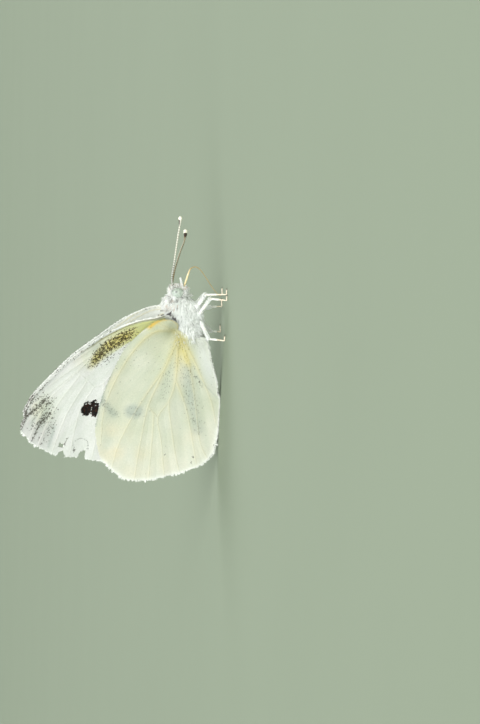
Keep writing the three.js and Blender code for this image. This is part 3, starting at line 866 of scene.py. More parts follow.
def make_material(name, roughness, ground, stains, grain, uniform=None):
    """ground is two colours and the mottle's scale and contrast. stains are rows of mask name, colour,
    strength and breakup. grain is the bump's scale and strength. uniform holds the shader's own values."""
    material = bpy.data.materials.new(name)
    material.use_nodes = True
    tree = material.node_tree
    shader = tree.nodes["Principled BSDF"]
    shader.inputs["Roughness"].default_value = roughness
    for label, value in (uniform or {}).items():
        shader.inputs[label].default_value = value
    first, second, scale, contrast = ground
    values = {"First": srgb(*first), "Second": srgb(*second), "Scale": scale, "Contrast": contrast}
    colour = place_group(tree, MOTTLE, values)
    for label, stain, strength, breakup in stains:
        colour = place_group(tree, STAIN, {
            "Color": colour, "Stain": srgb(*stain), "Mask": mask(tree, label),
            "Strength": strength, "Breakup": breakup, "Scale": STAIN_LUMPS,
        })
    tree.links.new(colour, shader.inputs["Base Color"])
    bump = tree.nodes.new("ShaderNodeBump")
    bump.inputs["Strength"].default_value = grain[1]
    bump.inputs["Distance"].default_value = BUMP_DISTANCE
    height = place_group(tree, GRAIN, {"Scale": grain[0], "Depth": 1.0})
    tree.links.new(height, bump.inputs["Height"])
    tree.links.new(bump.outputs["Normal"], shader.inputs["Normal"])
    return material


# %% [markdown]
# ## The wings' materials
#
# The hindwing's underside is pale cream with a breath of green, the forewing's is nearly white, and the
# uppersides are plain white. All take the same stains, in the order in which they overlie each other: gold
# and ochre first, then a grey veil, partly real grey and partly painted shade (the wing behind showing
# through, and shade along edges, the costal vein and a crease), then the veins, and last the dark scales.

# %% The wings' materials
WING_STAINS = [
    ("ray", (198, 206, 194), 0.3, 0.2),
    ("sage", (190, 197, 172), 0.7, 0.2),
    ("pale", (221, 224, 222), 0.8, 0.2),
    ("blush", (224, 214, 186), 0.8, 0.3),
    ("lilac", (206, 202, 204), 0.75, 0.4),
    ("gold", (194, 196, 122), 1.0, 0.15),
    ("ochre", (232, 190, 52), 0.9, 0.2),
    ("veil", (152, 164, 158), 0.75, 0.4),
    ("vein", (222, 212, 172), 0.5, 0.2),
    ("white", (252, 253, 252), 0.9, 0.1),
    ("groove", (118, 112, 60), 0.85, 0.2),
    ("shade", (176, 184, 168), 0.25, 0.0),
    ("dust", (50, 42, 26), 0.96, 0.1),
    ("black", (8, 5, 3), 1.0, 0.0),
    ("rust", (62, 30, 15), 0.9, 0.0),
]
WING_GROUNDS = {  # two colours, and the scale and contrast of the mottle between them
    "forewing_white": ((226, 226, 224), (220, 221, 220), 0.35, 2.5),
    "hindwing_cream": ((222, 221, 208), (215, 216, 201), 0.4, 3.0),
    "upperside_white": ((250, 250, 246), (242, 245, 240), 0.35, 2.0),
}
WING_ROUGHNESS = 0.6
WING_GRAIN = (22.0, 0.35)
WING_SHINE = {"Specular IOR Level": 0.15}

forewing_finish, hindwing_finish, upperside_finish = (
    make_material(name, WING_ROUGHNESS, ground, WING_STAINS, WING_GRAIN, WING_SHINE)
    for name, ground in WING_GROUNDS.items()
)
WINGS["fore"]["finishes"] = {"outer": forewing_finish, "inner": upperside_finish}
WINGS["hind"]["finishes"] = {"outer": hindwing_finish, "inner": upperside_finish}

# %% [markdown]
# ## The wing sheets
#
# A wing is a sheet far thinner than paper, stiffened by its veins. A square grid lifted to the board's
# heights would chew the edge and blur the veins. So we scatter points instead: a loose honeycomb over the
# skin, rows of close points along each vein, and the outline itself, and let a Delaunay triangulation join
# them. Both faces use the same triangles, a rim closes the edge, and one wing serves for both sides,
# mirrored.

# %% Scattering the sheet's points
SHEET_STEP = 0.26
VEIN_POINT_STEP = 0.2
VEIN_LANES = (-0.13, -0.06, 0.0, 0.06, 0.13)
VEIN_CLEARANCE = 0.22  # no loose points this near a vein
EDGE_CLEARANCE = 0.09
TEAR_CLEARANCE = 0.06
MERGE_DISTANCE = 1e-6


def honeycomb(low, high, step):
    rows = np.arange(low[1], high[1], step * math.sqrt(3) / 2)
    columns = np.arange(low[0], high[0], step)
    x, z = np.meshgrid(columns, rows)
    x[1::2] += step / 2
    return np.stack([x.ravel(), z.ravel()], axis=1)


def vein_lanes(veins):
    lanes = []
    for knots in veins:
        line = smooth_line(knots, VEIN_POINT_STEP)
        across = quarter_left(unit(np.gradient(line, axis=0)))
        lanes += [line + across * lane for lane in VEIN_LANES]
    return np.vstack(lanes)


def scatter(wing, outline, tears):
    """Points for a sheet, kept a little apart from its edges."""
    comb = honeycomb(outline.min(axis=0), outline.max(axis=0), SHEET_STEP)
    comb = comb[look_up(wing["board"], "near", comb) > VEIN_CLEARANCE]
    loose = np.vstack([comb, vein_lanes(wing["veins"])])
    loose = loose[inside(loose, outline) & (distance_to(loose, closed(outline)) > EDGE_CLEARANCE)]
    for tear in tears:
        loose = loose[distance_to(loose, closed(tear)) > TEAR_CLEARANCE]
    return loose


# %% Triangles, two faces and a rim
def flat_triangles(wing, outline, tears):
    """Joins the scattered points, and leaves out what lies past the edge or in a tear."""
    loops = [outline, *tears]
    points = np.vstack([*loops, scatter(wing, outline, tears)])
    edges = []
    start = 0
    for loop in loops:
        edges += [(start + i, start + (i + 1) % len(loop)) for i in range(len(loop))]
        start += len(loop)
    joined = delaunay_2d_cdt([Vector(point) for point in points.tolist()], edges, [], 0, MERGE_DISTANCE)
    flat = np.array([tuple(point) for point in joined[0]])
    triangles = np.array([face for face in joined[2] if len(face) == 3])
    middles = flat[triangles].mean(axis=1)
    return flat, triangles[inside(middles, outline) & ~in_any(middles, tears)]


def rim_of(triangles):
    """The edges that only one triangle has, in the direction that the triangle runs."""
    edges = np.vstack([triangles[:, [0, 1]], triangles[:, [1, 2]], triangles[:, [2, 0]]])
    known = {(a, b) for a, b in edges.tolist()}
    return np.array([(a, b) for a, b in edges.tolist() if (b, a) not in known])


def stand_up(flat, sideways):
    """Flat points, in X and Z, with their sideways places put in between."""
    return np.stack([flat[:, 0], sideways, flat[:, 1]], axis=1)


def sheet_values(wing, flat):
    """The masks on both faces, outer first, as one list for each name."""
    faces = [wing["masks"][face](flat, wing["board"]) for face in ("outer", "inner")]
    labels = sorted(set(faces[0]) | set(faces[1]))
    none = np.zeros(len(flat))
    return {label: np.concatenate([face.get(label, none) for face in faces]) for label in labels}


def build_sheet(wing, tears):
    """Points, faces and values of a left wing's sheet. The outer face looks left."""
    flat, triangles = flat_triangles(wing, sheet_outline(wing["edges"]), tears)
    triangles = triangles[:, ::-1]
    start, end = rim_of(triangles).T
    count = len(flat)
    rim = np.stack([end, start, start + count, end + count], axis=1)
    heights = [look_up(wing["board"], face, flat) for face in ("outer", "inner")]
    return {
        "points": np.vstack([stand_up(flat, height) for height in heights]),
        "faces": [triangles, rim, triangles[:, ::-1] + count],
        "values": sheet_values(wing, flat),
    }


# %% Mirroring and making the four sheets
SIDES = {"right": -1, "left": 1}


def on_side(shape, side):
    """A left-hand shape as it is, or mirrored to the right with its faces turned to match."""
    if side > 0:
        return shape
    faces = [face[:, ::-1] for face in shape["faces"]]
    return shape | {"points": shape["points"] * (1, -1, 1), "faces": faces}


for wing_name, wing in WINGS.items():
    for side_name, side in SIDES.items():
        sheet = build_sheet(wing, wing["tears"][side_name])
        piece = make_piece(f"sheet_{wing_name}_{side_name}", **on_side(sheet, side))
        attach(piece, f"{wing_name}wing", wing["finishes"].values(), f"wing_{wing_name}_{side_name}")
        # The inner face comes last, and takes the second material.
        inner = np.arange(len(piece.data.polygons)) >= len(piece.data.polygons) - len(sheet["faces"][2])
        piece.data.polygons.foreach_set("material_index", inner.astype(np.int32))

# %% [markdown]
# ## Scales
#
# Scales cover both faces of a wing like roof tiles, in rows across it, each with its broad end towards the
# margin. A bump texture could fake them, but they break up the light and make the markings grainy, so they
# are real: six points each, arched, rooted in the sheet, and laid in arcs round the wing's root, a little
# unevenly. A throw of the dice makes each scale dark or not, as likely as the mask says.

# %% The shape and the rows of scales
SCALE_OUTLINE = np.array([
    [0.0, 0.0, -0.3], [0.38, -0.5, 0.55], [0.38, 0.5, 0.55],
    [0.84, -0.44, 0.9], [0.84, 0.44, 0.9], [1.0, 0.0, 0.85],
])
SCALE_FACES = [np.array([[0, 1, 2], [3, 5, 4]]), np.array([[1, 3, 4, 2]])]
SCALE_RISE = 0.045
PATCH_SIZE = 0.003  # of a scale or a strand on the flat map
FAN = (math.radians(60), math.radians(225))  # the directions from the hub in which rows run
UNEVEN = (0.22, 0.18)  # how far roots stray within a row and out of it, as shares of the gaps


def arc_rows(hub, edges, row_gap, across_gap, dice):
    """Roots in arcs round the hub, within the wing's outline."""
    farthest = np.linalg.norm(wing_outline(edges) - hub, axis=1).max()
    rows = []
    for number, radius in enumerate(np.arange(0.4, farthest, row_gap)):
        step = across_gap / radius
        angles = np.arange(*FAN, step) + (number % 2) * step / 2
        angles = angles + dice.normal(0, UNEVEN[0] * step, len(angles))
        reach = radius + dice.normal(0, UNEVEN[1] * row_gap, len(angles))
        rows.append(hub + np.stack([reach * np.cos(angles), reach * np.sin(angles)], axis=1))
    roots = np.vstack(rows)
    return roots[inside(roots, sheet_outline(edges))]


def stamp(roots, along, normals, lengths, widths, rise):
    """Copies of the scale's outline, one at each root, as points and faces."""
    across = np.cross(normals, along)
    length, width = lengths[:, None, None], widths[:, None, None]
    points = roots[:, None] + SCALE_OUTLINE[:, :1] * length * along[:, None]
    points = points + SCALE_OUTLINE[:, 1:2] * width * across[:, None]
    points = points + SCALE_OUTLINE[:, 2:] * rise[:, None, None] * normals[:, None]
    starts = (np.arange(len(roots)) * len(SCALE_OUTLINE))[:, None, None]
    faces = [(face + starts).reshape(-1, face.shape[1]) for face in SCALE_FACES]
    return points.reshape(-1, 3), faces


def lie_on(board, face, flat, away):
    """Flat directions laid on a face at flat points, and the board's normals there."""
    slope_x, slope_z = (look_up(board, f"{face}_d{axis}", flat) for axis in "xz")
    along = unit(stand_up(away, away[:, 0] * slope_x + away[:, 1] * slope_z))
    return along, unit(np.stack([-slope_x, np.ones(len(flat)), -slope_z], axis=1))


def wing_coat(board, flat, stamped, masks):
    """A coat of scales. Each has its own small patch of the flat map, round its root's place."""
    homes = 0.01 + 0.98 * (flat - board["low"]) / (np.array(board["near"].shape).max() * BOARD_STEP)
    local = (SCALE_OUTLINE[:, :2] - (0.5, 0)) * PATCH_SIZE
    points, faces = stamped
    return {
        "points": points,
        "faces": faces,
        "values": {label: np.repeat(numbers, len(SCALE_OUTLINE)) for label, numbers in masks.items()},
        "patches": (homes[:, None] + local).reshape(-1, 2),
    }


# %% Laying scales on a face
SCALE_GAPS = {"outer": (0.115, 0.09), "inner": (0.17, 0.13)}  # between rows, and within a row
SCALE_LENGTHS = (1.65, 2.1)  # as shares of the gap between rows
SCALE_WIDTHS = (1.0, 1.3)  # as shares of the gap within a row
RUSTY_SHARE = 0.16
# How dark a dark scale is, from the palest to the darkest.
WINGS["fore"]["darkness"] = {"dust": (0.7, 1.0), "black": (0.985, 1.0)}
WINGS["hind"]["darkness"] = {"dust": (0.25, 0.6), "black": (0.6, 0.85)}


def scale_roots(wing, face, tears, dice):
    """Flat roots from which no scale reaches into a tear, or on the inner face past the wing's edge."""
    row_gap, across_gap = SCALE_GAPS[face]
    flat = arc_rows(wing["hub"], wing["edges"], row_gap, across_gap, dice)
    if face == "inner":
        flat = flat[inside(flat + 2.2 * row_gap * unit(flat - wing["hub"]), wing_outline(wing["edges"]))]
    ends = flat + row_gap * unit(flat - wing["hub"])
    return flat[~in_any(flat, tears) & ~in_any(ends, tears)]


def throw_dark(masks, darkness, dice):
    """Makes each scale dark or not, as likely as the masks say."""
    count = len(masks["vein"])
    masks["shade"] = dice.random(count)
    for label, limits in darkness.items():
        chance = masks.get(label, np.zeros(count))
        masks[label] = (dice.random(count) < chance) * dice.uniform(*limits, count)
    masks["rust"] = masks["black"] * (dice.random(count) < RUSTY_SHARE)
    return masks


def lay_scales(wing, face, tears, seed):
    dice = np.random.default_rng(seed)
    board = wing["board"]
    flat = scale_roots(wing, face, tears, dice)
    count = len(flat)
    turn = dice.normal(0, 0.1, count)
    x, z = unit(flat - wing["hub"]).T
    away = np.stack([x * np.cos(turn) - z * np.sin(turn), x * np.sin(turn) + z * np.cos(turn)], axis=1)
    along, normals = lie_on(board, face, flat, away)
    if face == "inner":
        normals = -normals
    row_gap, across_gap = SCALE_GAPS[face]
    lengths = row_gap * dice.uniform(*SCALE_LENGTHS, count)
    widths = across_gap * dice.uniform(*SCALE_WIDTHS, count)
    rise = SCALE_RISE * dice.uniform(0.7, 1.3, count)
    stamped = stamp(stand_up(flat, look_up(board, face, flat)), along, normals, lengths, widths, rise)
    masks = throw_dark(wing["masks"][face](flat, board), wing["darkness"], dice)
    return wing_coat(board, flat, stamped, masks)


# %% Laying the scales of all wings
for number, (wing_name, wing) in enumerate(WINGS.items()):
    for face in SCALE_GAPS:
        for side_name, side in SIDES.items():
            coat = lay_scales(wing, face, wing["tears"][side_name], seed=10 + number)
            piece = make_piece(f"scales_{face}_{wing_name}_{side_name}", **on_side(coat, side))
            attach(piece, f"{wing_name}wing", [wing["finishes"][face]])

# %% [markdown]
# ## Fringes
#
# Along the outer and inner margins the last scales are hair-like, and stick out past the sheet as a soft
# fringe. They are the same scales, drawn long and narrow and crowded in small locks that point away from
# the wing.

# %% Fringes
FRINGE_STEP = 0.034
FRINGE_LENGTHS = (0.28, 0.5)
FRINGE_WIDTH = 0.05
FRINGE_LOCK = 9  # hairs that lean together
OUTER_SHARE = 0.55  # of the two margins together
FRINGE_WHITE = 0.85


def build_fringe(wing, tears, seed):
    dice = np.random.default_rng(seed)
    board = wing["board"]
    margin = np.vstack([smooth_line(wing["edges"][name], FRINGE_STEP)[:-1] for name in ("outer", "inner")])
    along = unit(np.gradient(margin, axis=0))
    outwards = -quarter_left(along)
    flat = margin - outwards * dice.uniform(0.24, 0.34, len(margin))[:, None]
    keep = ~in_any(flat, tears) & ~in_any(margin, tears)
    lock = np.arange(len(flat)) // FRINGE_LOCK
    ragged = np.linspace(0, 1, len(flat)) < OUTER_SHARE
    lean = dice.normal(0, 0.3, lock[-1] + 1)[lock] * np.where(ragged, 1, 0.5)
    reach = np.where(ragged, dice.uniform(0.7, 1.3, lock[-1] + 1)[lock], 0.75)
    flat, outwards, along, lean, reach = (rows[keep] for rows in (flat, outwards, along, lean, reach))
    count = len(flat)
    sway = (lean + dice.normal(0, 0.12, count))[:, None]
    direction, normals = lie_on(board, "outer", flat, unit(outwards + sway * along))
    middle = (look_up(board, "outer", flat) + look_up(board, "inner", flat)) / 2
    roots = stand_up(flat, middle + dice.uniform(-0.04, 0.04, count))
    lengths = dice.uniform(*FRINGE_LENGTHS, count) * reach
    widths = FRINGE_WIDTH * dice.uniform(0.8, 1.4, count)
    points, faces = stamp(roots, direction, normals, lengths, widths, dice.uniform(-0.05, 0.05, count))
    points[:, 2] = points[:, 2].clip(0.005)
    masks = {"white": np.full(count, FRINGE_WHITE), "shade": dice.random(count)}
    masks["dust"] = (dice.random(count) < wing["masks"]["outer"](flat, board)["dust"] * 0.5) * 0.8
    return wing_coat(board, flat, (points, faces), masks)


for number, (wing_name, wing) in enumerate(WINGS.items()):
    for side_name, side in SIDES.items():
        fringe = build_fringe(wing, wing["tears"][side_name], seed=20 + number)
        piece = make_piece(f"fringe_{wing_name}_{side_name}", **on_side(fringe, side))
        attach(piece, f"{wing_name}wing", [wing["finishes"]["outer"]])

# %% [markdown]
# ## One skin for the body
#
# Head, palps, chest and belly are flesh under one skin, so they mustn't show seams. Each is a closed form,
# a little inside its solid to leave room for the fur: lofted sections for the chest and the ringed abdomen,
# ellipsoids for the head, neck and hips, and short limbs for the palps. A voxel remesh melts them into one
# surface, in millimetres because it works in whole units, and a light smoothing rounds the joins.

# %% Tubes and lofts
def loft(rings, first, last):
    """Closed quads and end fans over rings of points, with a point at each end."""
    rings = np.asarray(rings, float)
    count, sides = rings.shape[:2]
    points = np.vstack([rings.reshape(-1, 3), [first], [last]])
    side = np.arange(sides)
    beside = (side + 1) % sides
    quads = np.vstack([
        np.stack([row + side, row + beside, row + sides + beside, row + sides + side], axis=1)
        for row in np.arange(count - 1) * sides
    ])
    top = (count - 1) * sides
    ends = np.vstack([
        np.stack([beside, side, np.full(sides, count * sides)], axis=1),
        np.stack([top + side, top + beside, np.full(sides, count * sides + 1)], axis=1),
    ])
    a, b, c = (points[ends[:, k]] for k in range(3))
    p, q, r, s = (points[quads[:, k]] for k in range(4))
    volume = np.einsum("ij,ij->", a, np.cross(b, c))
    volume += np.einsum("ij,ij->", p, np.cross(q, r)) + np.einsum("ij,ij->", p, np.cross(r, s))
    if volume < 0:
        return points, [quads[:, ::-1], ends[:, ::-1]]
    return points, [quads, ends]


def frames_along(path):
    """Directions along a path, and two across it that don't twist."""
    along = unit(np.gradient(path, axis=0))
    across = np.cross((0.0, 1.0, 0.0), along[0])
    sideways = []
    for direction in along:
        across = unit(across - direction * (across @ direction))
        sideways.append(across)
    sideways = np.array(sideways)
    return along, sideways, np.cross(along, sideways)


def even_turns(count):
    return np.linspace(0, 2 * math.pi, count, endpoint=False)


def tube(path, radii, sides=12, flat=1.0):
    """A round limb along a path. flat under 1 makes it thinner in its second direction."""
    along, across, over = frames_along(path)
    turns = even_turns(sides)
    radii = np.asarray(radii, float)[:, None, None]
    rings = path[:, None] + radii * np.cos(turns)[None, :, None] * across[:, None]
    rings = rings + flat * radii * np.sin(turns)[None, :, None] * over[:, None]
    first = path[0] - 0.5 * radii[0, 0, 0] * along[0]
    last = path[-1] + 0.5 * radii[-1, 0, 0] * along[-1]
    return loft(rings, first, last)


def ellipsoid(centre, radii, across=28, down=18):
    turns = even_turns(across)
    circle = np.stack([np.zeros(across), np.cos(turns), np.sin(turns)], axis=1)
    heights = np.linspace(0, math.pi, down + 1)[1:-1]
    rings = [(math.sin(height) * circle + (math.cos(height), 0, 0)) * radii + centre for height in heights]
    ends = [np.array(centre) + (radii[0], 0, 0), np.array(centre) - (radii[0], 0, 0)]
    return loft(rings, *ends)


def joined(shapes):
    """Several (points, faces) as one."""
    starts = np.cumsum([0] + [len(points) for points, _ in shapes])
    faces = [face + start for (_, group), start in zip(shapes, starts) for face in group]
    return np.vstack([points for points, _ in shapes]), faces


# %% The head's own place
HEAD_CENTRE = np.array([5.3, 0.0, 5.9])
HEAD_RADII = np.array([0.98, 0.86, 1.18])
HEAD_TURN = math.radians(18)
EYE_CENTRE = np.array([-0.12, 0.66, 0.08])
EYE_RADII = np.array([0.64, 0.46, 0.76])
HEAD_AXES = np.array([
    [math.cos(HEAD_TURN), math.sin(HEAD_TURN), 0.0],
    [-math.sin(HEAD_TURN), math.cos(HEAD_TURN), 0.0],
    [0.0, 0.0, 1.0],
])


def from_head(points):
    """Points given in the head's own frame, moved to where the head is. It is turned a little left."""
    return np.asarray(points, float) @ HEAD_AXES + HEAD_CENTRE


def to_head(points):
    return (points - HEAD_CENTRE) @ HEAD_AXES.T


# %% The body's forms
THORAX_FUR = 0.32
ABDOMEN_FUR = 0.14
THORAX_SECTIONS = [  # place along X, top, underside, width
    (4.8, 7.0, 4.7, 1.8), (4.3, 7.65, 3.95, 2.5), (3.5, 7.9, 3.2, 3.1), (2.6, 7.75, 2.95, 3.35),
    (1.7, 7.3, 2.7, 3.35), (0.8, 6.6, 2.6, 3.0), (0.1, 5.85, 2.75, 2.5), (-0.35, 5.3, 3.0, 2.0),
]
ABDOMEN_FRONT = np.array([-0.6, 0.0, 4.1])
ABDOMEN_LENGTH = 8.2
ABDOMEN_SLOPE = 0.21
ABDOMEN_SEGMENTS = 7
ABDOMEN_WIDEST = 1.14
RIGHT_PALP = np.array([[0.6, -0.28, -0.48], [1.1, -0.31, -0.4], [1.55, -0.34, -0.3]])
LEGS = {  # hip, knee and heel, which is given in X and Y
    "front_right": ((3.5, -0.7, 3.5), (5.5, -1.5, 2.6), (6.2, -2.9)),
    "mid_right": ((2.6, -0.8, 3.15), (5.35, -2.35, 2.05), (5.7, -3.6)),
    "hind_right": ((1.5, -0.65, 2.95), (-0.1, -2.4, 2.0), (0.1, -3.3)),
    "front_left": ((3.4, 0.7, 3.5), (4.1, 1.75, 2.5), (3.7, 2.9)),
    "mid_left": ((2.6, 0.75, 3.15), (2.4, 1.9, 1.65), (2.2, 2.7)),
    "hind_left": ((1.3, 0.7, 2.95), (-1.2, 2.55, 1.35), (-1.5, 3.1)),
}


def round_section(x, middle, half_height, half_width, sides=32):
    turns = even_turns(sides)
    return np.stack([
        np.full(sides, x), half_width * np.sin(turns), middle + half_height * np.cos(turns)
    ], axis=1)


def thorax_form():
    rings = [
        round_section(x, (top + under) / 2, (top - under) / 2 - THORAX_FUR, width / 2 - THORAX_FUR)
        for x, top, under, width in THORAX_SECTIONS
    ]
    return loft(rings, (4.95, 0, 5.85), (-0.45, 0, 4.15))


def abdomen_form():
    """Rings that swell behind the waist and taper to the tail, drawn in between the segments."""
    rings = []
    for along in np.linspace(0, 1, ABDOMEN_SEGMENTS * 8 + 1):
        swell = math.sqrt(math.sin(math.pi * (0.14 + 0.8 * along)))
        place = (along * ABDOMEN_SEGMENTS) % 1
        step = 1 - 0.07 * fade(min(place, 1 - place), 0.12) + 0.02 * place
        radius = (ABDOMEN_WIDEST - ABDOMEN_FUR) * swell * step
        x = ABDOMEN_FRONT[0] - ABDOMEN_LENGTH * along
        middle = ABDOMEN_FRONT[2] - ABDOMEN_SLOPE * ABDOMEN_LENGTH * along
        rings.append(round_section(x, middle, radius, radius))
    tail = ABDOMEN_FRONT - ABDOMEN_LENGTH * np.array([1, 0, ABDOMEN_SLOPE])
    return loft(rings, ABDOMEN_FRONT + (0.1, 0, 0), tail - (0.15, 0, 0))


def head_forms():
    """The skull with a cheek and brow round each eye, and the two palps."""
    skull_points, skull_faces = ellipsoid((0, 0, 0), HEAD_RADII - (0.22, 0.2, 0.24))
    forms = [(from_head(skull_points), skull_faces)]
    for side in SIDES.values():
        socket = EYE_CENTRE * (1, side, 1) - (0, side * 0.2, 0)
        points, faces = ellipsoid(socket, EYE_RADII * (1.0, 0.55, 1.0))
        forms.append((from_head(points), faces))
        palp = smooth_line(RIGHT_PALP * (1, -side, 1), 0.1)
        forms.append(tube(from_head(palp), np.linspace(0.13, 0.07, len(palp))))
    return forms


def trunk_forms():
    neck = ellipsoid((4.75, 0.0, 5.8), (0.75, 0.62, 0.8))
    waist = ellipsoid((-0.55, 0.0, 4.15), (0.9, 0.78, 0.85))
    hips = [
        ellipsoid(np.array(hip) + (0.0, -0.16 * np.sign(hip[1]), 0.34), (0.34, 0.24, 0.5), 16, 10)
        for hip, _, _ in LEGS.values()
    ]
    return [thorax_form(), abdomen_form(), neck, waist, *hips]


# %% Melting the forms together
VOXEL = 0.075
SMOOTHING = 0.5
SMOOTHING_ROUNDS = 6


def melt(forms):
    """One surface round all the forms, as points and quads in millimetres."""
    points, faces = joined(forms)
    mesh = bpy.data.meshes.new("forms")
    mesh.from_pydata(points.tolist(), [], [row for face in faces for row in face.tolist()])
    lump = bpy.data.objects.new("forms", mesh)
    bpy.context.scene.collection.objects.link(lump)
    remesh = lump.modifiers.new("melt", "REMESH")
    remesh.mode = "VOXEL"
    remesh.voxel_size = VOXEL
    smooth = lump.modifiers.new("smooth", "SMOOTH")
    smooth.factor = SMOOTHING
    smooth.iterations = SMOOTHING_ROUNDS
    graph = bpy.context.evaluated_depsgraph_get()
    melted = bpy.data.meshes.new_from_object(lump.evaluated_get(graph), depsgraph=graph)
    places = np.empty(len(melted.vertices) * 3, np.float32)
    melted.vertices.foreach_get("co", places)
    corners = np.empty(len(melted.loops), np.int32)
    melted.loops.foreach_get("vertex_index", corners)
    bpy.data.objects.remove(lump)
    bpy.data.meshes.remove(mesh)
    bpy.data.meshes.remove(melted)
    return places.reshape(-1, 3).astype(float), corners.reshape(-1, 4)


def point_normals(points, quads):
    across = np.cross(points[quads[:, 2]] - points[quads[:, 0]], points[quads[:, 3]] - points[quads[:, 1]])
    sums = np.zeros_like(points)
    for corner in range(4):
        np.add.at(sums, quads[:, corner], across)
    return unit(sums)


skin_points, skin_quads = melt(trunk_forms() + head_forms())
skin_normals = point_normals(skin_points, skin_quads)
print("skin:", len(skin_quads), "quads,", np.ptp(skin_points, axis=0).round(2), "mm in X, Y and Z")

# %% [markdown]
# ## The skin's material and flat map
#
# Under the fur the skin is grey, so that gaps between hairs look deep rather than black. The fur's colours
# are kept on a flat map, which unrolls the body like a label round a bottle: across is the turn round the
# body, and up is the place along it.

# %% The skin's material and flat map
BODY_FRONT = 7.6
BODY_BACK = -9.4


def body_axis(x):  # height of the body's middle
    return np.interp(x, [-8.8, -0.6, 1.0, 2.6, 4.5, 5.3, 7.5], [2.4, 4.1, 4.6, 5.3, 5.8, 5.9, 5.7])


def body_map(points):
    turn = np.arctan2(points[:, 1], points[:, 2] - body_axis(points[:, 0])) / (2 * math.pi) + 0.5
    place = (points[:, 0] - BODY_BACK) / (BODY_FRONT - BODY_BACK)
    return 0.01 + 0.98 * np.stack([turn, place], axis=1).clip(0, 1)


# Places on the body. At the wings' sockets, the crown's gap, behind the eye, along the chest's seam, at the
# collar and before the wings, shade is painted into skin and hair.
WING_SOCKET = [(2.65, 1.0, 6.85), (2.3, 1.12, 6.5), (1.95, 1.2, 6.15)]
SOCKET_SHADOW_TUFTS = [((2.68, 1.0, 6.72), (-0.6, 0.0, 0.8)), ((2.25, 1.12, 6.5), (-0.4, 0.0, -0.9))]
CROWN_GAP = [(5.95, 0.5, 6.8), (5.6, 0.5, 6.9)]
SHOULDER = [(4.3, 0.75, 6.8), (3.9, 0.9, 6.7), (3.6, 0.8, 7.2)]
TEMPLE = (5.2, 0.75, 6.62)
CHEEK = (5.3, 0.85, 5.6)
SOCKET_FRONT = [(3.2, 0.95, 7.0)]
BEHIND_EYE = [(4.65, 0.5, 6.74), (4.5, 0.62, 6.55)]
COLLAR = [(4.05, 0.5, 7.2), (4.05, 0.1, 7.4)]
THROAT = [(4.55, 0.5, 4.5), (4.45, 0.0, 4.3), (4.75, 0.4, 4.85)]
CHEST_SEAM = [(3.51, 1.15, 4.96), (3.35, 1.15, 4.64), (3.7, 1.0, 6.5)]


def close_to(points, places, reach):
    """1 at the places and at their mirror places on the other side, fading to 0."""
    points = np.column_stack([points[:, 0], np.abs(points[:, 1]), points[:, 2]])
    gap = np.min([np.linalg.norm(points - place, axis=1) for place in places], axis=0)
    return fade(gap, reach)


skin_finish = make_material(
    "skin_grey", 0.7, ((214, 218, 214), (188, 194, 192), 1.2, 3.0),
    [("gap", (46, 42, 36), 0.95, 0.2)], (9.0, 0.5)
)
# The skin is painted nearly black round the wings' sockets and darker under the head's hair: painted shade in
# those deep places.
skin_shade = smooth_step(1.6 * close_to(skin_points, WING_SOCKET, 0.4)) + 0.6 * ramp_up(skin_points[:, 0], 4.2, 0.3)
body_skin = make_piece("body_skin", skin_points, [skin_quads], {"gap": skin_shade.clip(0, 1)})
attach(body_skin, "body_fur", [skin_finish], "head", "thorax", "abdomen", "palp_right", "palp_left")

# %% [markdown]
# ## Growing fur
#
# Hairs are thin three-sided spikes in small locks. Each lock has a root on the skin, a direction in which
# the coat lies there, and a few strands that bend over along it. Everything is worked out for all strands
# at once, and seeded dice keep every run the same.

# %% Roots and strands
LOCK_STYLE = {  # how locks are made, where a coat doesn't say otherwise
    "strands": 3, "rings": 2, "lift": 0.4, "wild": 0.12, "curl": 0.1, "spread": 0.05, "dark": 0.012,
    "tan": 0.0, "stained": 0.7, "gap": 0.05,
}


def sow(count, dice, allowed):
    """Roots spread evenly over the skin, where allowed says yes, with the skin's normal at each."""
    corners = skin_points[skin_quads]
    areas = np.linalg.norm(np.cross(corners[:, 2] - corners[:, 0], corners[:, 3] - corners[:, 1]), axis=1)
    areas = areas * allowed(corners.mean(axis=1))
    chosen = dice.choice(len(areas), count, p=areas / areas.sum())
    u, v = dice.random((2, count, 1))
    blend = np.stack([(1 - u) * (1 - v), u * (1 - v), u * v, (1 - u) * v], axis=1)
    roots = (corners[chosen] * blend).sum(axis=1)
    normals = unit((skin_normals[skin_quads[chosen]] * blend).sum(axis=1))
    return roots, normals


def tangent(directions, normals):
    """One direction, or one for each root, laid flat against the skin."""
    return unit(directions - normals * np.sum(directions * normals, axis=1, keepdims=True))


